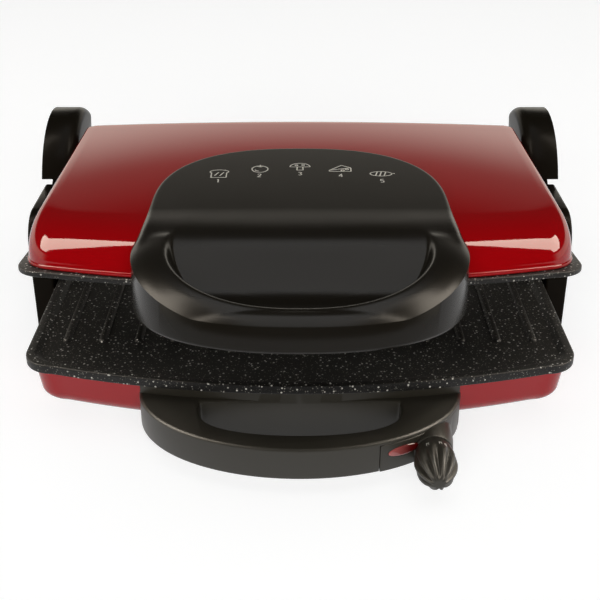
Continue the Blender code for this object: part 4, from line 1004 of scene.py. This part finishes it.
# Printed pictograms
# Five small pictures of things to grill stand in an arc on the handle's top, each over a plain number from
# 1 to 5. They are pad-printed in off-white ink a few hundredths of a millimetre thick, so they follow the
# moulding. Their lines are drawn in units of about a millimetre.
print_ink, shader = finish_named("pad_printing_ink", "#D9D6CC", 0.6)
stipple(print_ink, shader, 0.3 * MM, 0.01 * MM)
ink_height = 0.06 * MM
stroke = 0.8 * MM
print_spacing = 27.0 * MM
print_row = 90.0 * MM
print_sag = 13.0 * MM
picture_width, picture_height = 1.1 * MM, 1.5 * MM
digit_height = 1.4 * MM
digit_fall = 16.0 * MM
digits = {"1": [((0.5, 3.2), (1.3, 4), (1.3, 0))],
          "2": [((0, 3.2), (0.4, 3.8), (1, 4), (1.7, 3.7), (1.9, 3), (1.5, 2.1), (0, 0), (2.1, 0))],
          "3": [((0, 3.6), (1, 4), (1.8, 3.6), (1.8, 2.6), (1, 2.1), (1.9, 1.5), (1.9, 0.6), (1, 0),
                 (0, 0.4))],
          "4": [((1.6, 0), (1.6, 4), (0, 1.3), (2.3, 1.3))],
          "5": [((1.9, 4), (0.3, 4), (0.1, 2.3), (1.1, 2.5), (1.9, 1.8), (1.9, 0.6), (1, 0), (0, 0.4))]}


def oval(x, y, across, up, start=0, end=360, steps=28):
    points = []
    for i in range(steps + 1):
        angle = math.radians(start + (end - start) * i / steps)
        points.append((x + across * math.cos(angle), y + up * math.sin(angle)))
    return points


toast = oval(0, 2.6, 5.6, 2.4, -20, 200) + [(-4.6, 1.2), (-4.6, -4.6), (4.6, -4.6), (4.6, 1.2), (5.3, 1.8)]
mushroom = oval(0, 0, 6.2, 4.8, 0, 180) + [(-6.2, 0), (6.2, 0)]
cheese = [(-6.6, -3.6), (6.6, -3.6), (6.6, 1.2), (-6.6, -3.6 + 1.4), (-6.6, -3.6)]
pictures = ([toast, [(-2.6, -2.4), (-0.4, 1.8)], [(0.6, -2.4), (2.8, 1.8)]],
            [oval(0, -0.6, 4.9, 4.2), [(-2.6, 3.4), (0, 2.2), (2.6, 3.4)], [(0, 2.2), (0, 4.8)],
             oval(0, -0.6, 3.2, 2.6, 200, 260, 8)],
            [mushroom, [(-1.7, 0), (-1.9, -4.2), (1.9, -4.2), (1.7, 0)], oval(-2.2, 2.2, 0.8, 0.7, steps=12),
             oval(1.9, 2.5, 0.8, 0.7, steps=12)],
            [cheese, [(6.6, 1.2), (1.0, 4.2), (-6.6, -2.2)], oval(1.6, -2.2, 1.0, 0.8, steps=12),
             oval(4.3, -0.8, 0.9, 0.8, steps=12)],
            [oval(0, 0, 6.6, 2.9), [(-3.4, -2.3), (-2.0, 2.5)], [(-0.9, -2.7), (0.5, 2.7)],
             [(1.7, -2.6), (3.1, 2.3)], [(6.6, 0), (8.4, 0.5)]])


def ribbon(line, width, lay):
    """A flat stroke along a line; lay gives the place of each of its points."""
    fine = [line[0]]
    for (a, b), (c, d) in zip(line, line[1:]):
        parts = max(1, round(math.hypot(c - a, d - b) / (1.0 * MM)))
        fine += [(a + (c - a) * i / parts, b + (d - b) * i / parts) for i in range(1, parts + 1)]
    rows = []
    for i, (a, b) in enumerate(fine):
        before, after = fine[max(0, i - 1)], fine[min(len(fine) - 1, i + 1)]
        along = Vector((after[0] - before[0], after[1] - before[1])).normalized()
        across = Vector((-along.y, along.x)) * width / 2
        rows.append([lay(a - across.x, b - across.y), lay(a + across.x, b + across.y)])
    return rows


def printed(name, lines, width, lay):
    """Flat strokes of ink in one mesh."""
    points, faces = [], []
    for line in lines:
        rows = ribbon(line, width, lay)
        first = len(points)
        points += [point for row in rows for point in row]
        faces += [(first + 2 * i, first + 2 * i + 2, first + 2 * i + 3, first + 2 * i + 1)
                  for i in range(len(rows) - 1)]
    data = bpy.data.meshes.new(name)
    data.from_pydata(points, [], faces)
    piece = bpy.data.objects.new(name, data)
    bpy.context.scene.collection.objects.link(piece)
    return piece


lines = []
for i, picture in enumerate(pictures):
    x = (i - 2) * print_spacing
    y = print_row - print_sag * ((i - 2) / 2) ** 2
    lines += [[(x + a * picture_width, y + b * picture_height) for a, b in line] for line in picture]
    lines += [[(x + (a - 1) * picture_width, y + b * digit_height - digit_fall) for a, b in line]
              for line in digits[str(i + 1)]]
prints = printed("printed_pictograms", lines, stroke,
                 lambda x, y: (x, lid_y + y, parting_rise + hood_height(x, y, grip_front) + ink_height))
prints.data.transform(lid_place)
dress(prints, print_ink)
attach(prints, "lid")

# Base handle
# A D-shaped moulding on the front of the tub, with an opening for the fingers, a wall behind them and a thin
# upstand to the plate's rim. Its right front is stepped back for the fascia; a well takes the thermostat.
handle_half_width = 99.0 * MM
handle_front = 86.0 * MM
handle_root = 20.0 * MM
handle_back = 8.0 * MM
handle_top = 34.0 * MM
handle_bottom = 13.0 * MM
handle_round = 2.2 * MM
finger_half_width = handle_half_width - 38.2 * MM
finger_front = 70.4 * MM
finger_rear = 34.8 * MM
finger_wall = 4.0 * MM
wall_bottom = 6.0 * MM
upstand = 1.8 * MM
panel_lip = 2.4 * MM
finger_fullness = 0.55
panel_end = handle_half_width - 2.0 * MM
panel_start = panel_end - 51.0 * MM
panel_depth = 6.0 * MM
shaft_hole = 3.6 * MM
shaft_end = 37.4 * MM
well_half = 8.0 * MM
well_shift = 3.5 * MM
knob_x = joints["knob_turn"]["pos_m"][0]
knob_z = joints["knob_turn"]["pos_m"][2]
lens_x = knob_x - 17.6 * MM
lens_z = 24.6 * MM
lens_half_width = 9.5 * MM
lens_half_height = 3.2 * MM


def handle_arc(inset, start, end, steps):
    """Points along the handle's curved front, drawn in by an inset; 180 degrees is on the left."""
    half_width = handle_half_width - inset
    depth = handle_front - handle_root - inset
    angles = [math.radians(start + (end - start) * i / steps) for i in range(steps + 1)]
    return [(half_width * math.cos(a), plate_y - handle_root + depth * math.sin(a)) for a in angles]


def arc_angle(x, inset):
    """The angle at which handle_arc passes a place across the handle, right of its middle."""
    return 360 - math.degrees(math.acos(x / (handle_half_width - inset)))


back = plate_y - handle_back
outline = [(-handle_half_width, back)] + handle_arc(0, 180, 360, 120) + [(handle_half_width, back)]
opening = []
for i in range(61):
    angle = math.pi * i / 60
    depth = (finger_front - finger_rear) * math.sin(angle) ** finger_fullness
    opening.append((-finger_half_width * math.cos(angle), plate_y - finger_rear - depth))
base_grip = prism("moulded_base_handle", outline, handle_bottom, handle_top)
carve(base_grip, prism("opening", opening, handle_bottom - overrun, handle_top + overrun))
reach = finger_half_width + finger_wall
near, far = plate_y - finger_rear, plate_y - finger_rear + finger_wall
carve(base_grip, prism("wall", [(-reach, near), (reach, near), (reach, far), (-reach, far)], wall_bottom,
                       handle_bottom + handle_round), "UNION")
soften(base_grip, handle_round, 4)
reach = handle_half_width - 1.0 * MM
near = plate_y - plate_corner + base_front_inset - upstand
straight = plate_half_width - base_side_inset - base_corner
outline = []
for i in range(61):
    x = reach * (2 * i / 60 - 1)
    outline.append((x, near - plate_bow * (1 - (x / straight) ** 2)))
outline += [(reach, back), (-reach, back)]
carve(base_grip, prism("upstand", outline, handle_top - handle_round, base_top), "UNION")
step = panel_depth + seat_gap
inner = handle_arc(step, arc_angle(panel_start - seat_gap, step), arc_angle(panel_end - step, step), 60)
outer = handle_arc(0, arc_angle(panel_start - seat_gap, 0), arc_angle(panel_end + seat_gap, 0), 60)
past = [(2 * x - a, 2 * y - b) for (x, y), (a, b) in zip(outer, inner)]
carve(base_grip, prism("step", inner + past[::-1], handle_bottom - overrun, handle_top - panel_lip))
carve(base_grip, skin("form", base_form))
shaft = circle(knob_x, knob_z, shaft_hole, 48)
carve(base_grip, prism("shaft", shaft, plate_y - 80 * MM, plate_y - shaft_end, "Y"))
well = [(knob_x - well_shift + a * well_half, plate_y - shaft_end + b * well_half)
        for a, b in ((-1, -1), (1, -1), (1, 1), (-1, 1))]
carve(base_grip, prism("well", well, handle_bottom - overrun, handle_top - 4 * MM))
dress(base_grip, black_plastic)
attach(base_grip, "base")
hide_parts("base_handle")


def panel_face(x, inset=0.0):
    """How far forward the handle's curved front lies at a place across it."""
    depth = handle_front - handle_root - inset
    return plate_y - handle_root - depth * math.sqrt(1 - (x / (handle_half_width - inset)) ** 2)


# Control fascia
# A curved cover on the right of the handle; a short collar on it flows into the knob's skirt.
collar_radius = 11.5 * MM
collar_face = joints["knob_turn"]["pos_m"][1]
panel_round = 0.7 * MM
cut_half_height = 24.0 * MM
outline = handle_arc(0, arc_angle(panel_start, 0), arc_angle(panel_end, 0), 40)
outline += handle_arc(panel_depth, arc_angle(panel_end - panel_depth, panel_depth),
                      arc_angle(panel_start, panel_depth), 40)
fascia = prism("moulded_fascia", outline, handle_bottom, handle_top - panel_lip - seat_gap)
soften(fascia, panel_round, 3)
rear = panel_face(knob_x + collar_radius, panel_depth)
rings = [[(knob_x, rear, knob_z)] * 96]
for radius, y in ((collar_radius + 2.0 * MM, rear), (collar_radius + 1.2 * MM, collar_face + 10 * MM),
                  (collar_radius + 0.5 * MM, collar_face + 5 * MM), (collar_radius, collar_face + 0.8 * MM),
                  (collar_radius - 0.2 * MM, collar_face + 0.3 * MM),
                  (collar_radius - 0.8 * MM, collar_face)):
    rings.append([(a, y, b) for a, b in circle(knob_x, knob_z, radius, 96)])
rings.append([(knob_x, collar_face, knob_z)] * 96)
carve(fascia, skin("collar", rings), "UNION")
lip = handle_arc(-seat_gap, 180, 360, 160)
carve(fascia, prism("lip", lip, handle_top - panel_lip - seat_gap, knob_z + cut_half_height))
core = handle_arc(panel_depth, 180, 360, 160)
carve(fascia, prism("core", core, knob_z - cut_half_height, knob_z + cut_half_height))
carve(fascia, prism("bore", shaft, collar_face - overrun, plate_y - handle_root, "Y"))


def lens_outline(gap):
    """The lens from the front, a slim oval, with a gap all round."""
    points = []
    for i in range(72):
        angle = 2 * math.pi * i / 72
        points.append((lens_x + (lens_half_width + gap) * math.cos(angle),
                       lens_z + (lens_half_height + gap) * math.sin(angle)))
    return points


carve(fascia, prism("window", lens_outline(seat_gap), plate_y - handle_front - overrun, plate_y - handle_root,
                    "Y"))
dress(fascia, black_plastic)
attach(fascia, "base")
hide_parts("control_panel")

# Lamp lens
# A slim oval of clear red polycarbonate in the fascia, with the neon lamp behind it.
red_lens, shader = finish_named("red_polycarbonate", "#8E1A1C", 0.12, Coat_Weight=0.5, Coat_Roughness=0.03)
# the map called depth is no depth of plastic: it paints the lens pale pink on its left as a painted
# highlight, fading to deep red on its right as painted shade
place = add(red_lens, "ShaderNodeTexCoord").outputs["Object"]
shift = add(red_lens, "ShaderNodeSeparateXYZ", {"Vector": place})
depth = add(red_lens, "ShaderNodeMapRange", {"Value": shift.outputs["X"], "From Min": lens_x - 9 * MM,
                                             "From Max": lens_x + 4 * MM})
mix = add(red_lens, "ShaderNodeMix", {0: depth.outputs["Result"], 6: srgb("#B8605C"), 7: srgb("#5A0C0C")},
          data_type="RGBA")
feed(red_lens, shader, "Base Color", mix.outputs[2])
rings = [[(lens_x, panel_face(lens_x) + 3.0 * MM, lens_z)] * 72]
for depth, shrink in ((3.0, 0.0), (0.2, 0.0), (-0.2, 0.15), (-0.5, 0.6), (-0.6, 1.2)):
    rings.append([(x, panel_face(x) + depth * MM, z) for x, z in lens_outline(-shrink * MM)])
rings.append([(lens_x, panel_face(lens_x) - 0.6 * MM, lens_z)] * 72)
lens_piece = skin("almond_lens", rings)
dress(lens_piece, red_lens)
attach(lens_piece, "base")
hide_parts("indicator_lens")

# Control knob
# A tulip-shaped moulding pushed on the thermostat's shaft: a plain skirt, then deep lobes drawn in to a tip.
knob_foot = collar_face - seat_gap
knob_length = 30.0 * MM
knob_radius = 12.6 * MM
knob_lobes = 10
knob_bore = 3.3 * MM
knob_bore_depth = 15.6 * MM
# along the knob, as a share of its length: its radius as a share of the full one, and how deep the lobes are
knob_profile = ((0.0, 0.84, 0.0), (0.01, 0.86, 0.0), (0.08, 0.89, 0.0), (0.16, 0.925, 0.01),
                (0.26, 0.97, 0.04), (0.34, 0.99, 0.09), (0.42, 0.995, 0.15), (0.50, 0.97, 0.2),
                (0.58, 0.93, 0.25), (0.66, 0.865, 0.28), (0.74, 0.78, 0.3), (0.82, 0.67, 0.3),
                (0.89, 0.55, 0.28), (0.94, 0.45, 0.24), (0.975, 0.36, 0.18), (1.0, 0.26, 0.08),
                (1.005, 0.14, 0.0), (1.006, 0.0, 0.0))
rings = [[(knob_x, knob_foot, knob_z)] * 240]
for along, width, dip in knob_profile:
    ring = []
    for i in range(240):
        angle = 2 * math.pi * i / 240
        lobe = 1 - dip * abs(math.sin(knob_lobes * angle / 2)) ** 3
        radius = knob_radius * width * lobe
        ring.append((knob_x + radius * math.cos(angle), knob_foot - knob_length * along,
                     knob_z + radius * math.sin(angle)))
    rings.append(ring)
knob = skin("lobed_knob", rings)
carve(knob, prism("bore", circle(knob_x, knob_z, knob_bore, 48), collar_face - knob_bore_depth,
                  collar_face + overrun, "Y"))
dress(knob, black_plastic, 50)
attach(knob, "knob")
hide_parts("control_knob")

# Setting marks
# Three short strokes of the same ink on the knob's skirt show how far it is turned.
def knob_surface(angle, along):
    """A place just over the knob's skirt, at an angle from its top and a distance from the collar."""
    share = along / knob_length
    near, far = [pair for pair in zip(knob_profile, knob_profile[1:]) if pair[0][0] <= share <= pair[1][0]][0]
    part = (share - near[0]) / (far[0] - near[0])
    turn = math.radians(90 - angle)
    dip = near[2] + (far[2] - near[2]) * part
    radius = knob_radius * (near[1] + (far[1] - near[1]) * part)
    radius = radius * (1 - dip * abs(math.sin(knob_lobes * turn / 2)) ** 3) + ink_height
    return knob_x + radius * math.cos(turn), knob_foot - along, knob_z + radius * math.sin(turn)


strokes = [[(angle, start * MM), (angle, end * MM)]
           for angle, start, end in ((-24, 5.6, 8.6), (12, 5.2, 8.2), (27, 5.8, 8.4))]
knob_marks = printed("printed_setting_marks", strokes, 8.0, knob_surface)
dress(knob_marks, print_ink)
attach(knob_marks, "knob")

# Screws underneath
# Four countersunk steel screws hold the bottom moulding to the posts above it.
screw_seat = shell_bottom
screw_x = 90.0 * MM
screw_front, screw_rear = 40.0 * MM, 150.0 * MM
screw_radius = 3.6 * MM
screw_head = 1.6 * MM
recess_length, recess_width = 4.2, 1.0
for label, x, y in (("front_left", -screw_x, screw_front), ("front_right", screw_x, screw_front),
                    ("rear_left", -screw_x, screw_rear), ("rear_right", screw_x, screw_rear)):
    y = plate_y + y
    bpy.ops.object.select_all(action="DESELECT")
    bpy.ops.mesh.primitive_cylinder_add(vertices=40, radius=screw_radius, depth=screw_head,
                                        location=(x, y, screw_seat + 0.1 * MM))
    screw = bpy.context.object
    screw.name = "countersunk_screw_" + label
    bpy.ops.object.transform_apply(location=True, rotation=True, scale=True)
    soften(screw, 0.4 * MM, 3)
    for across, along in ((recess_width, recess_length), (recess_length, recess_width)):
        w, d = across / 2 * MM, along / 2 * MM
        carve(screw, prism("recess", [(x - w, y - d), (x + w, y - d), (x + w, y + d), (x - w, y + d)],
                           screw_seat - overrun, screw_seat))
    dress(screw, zinc_plate)
    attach(screw, "base")
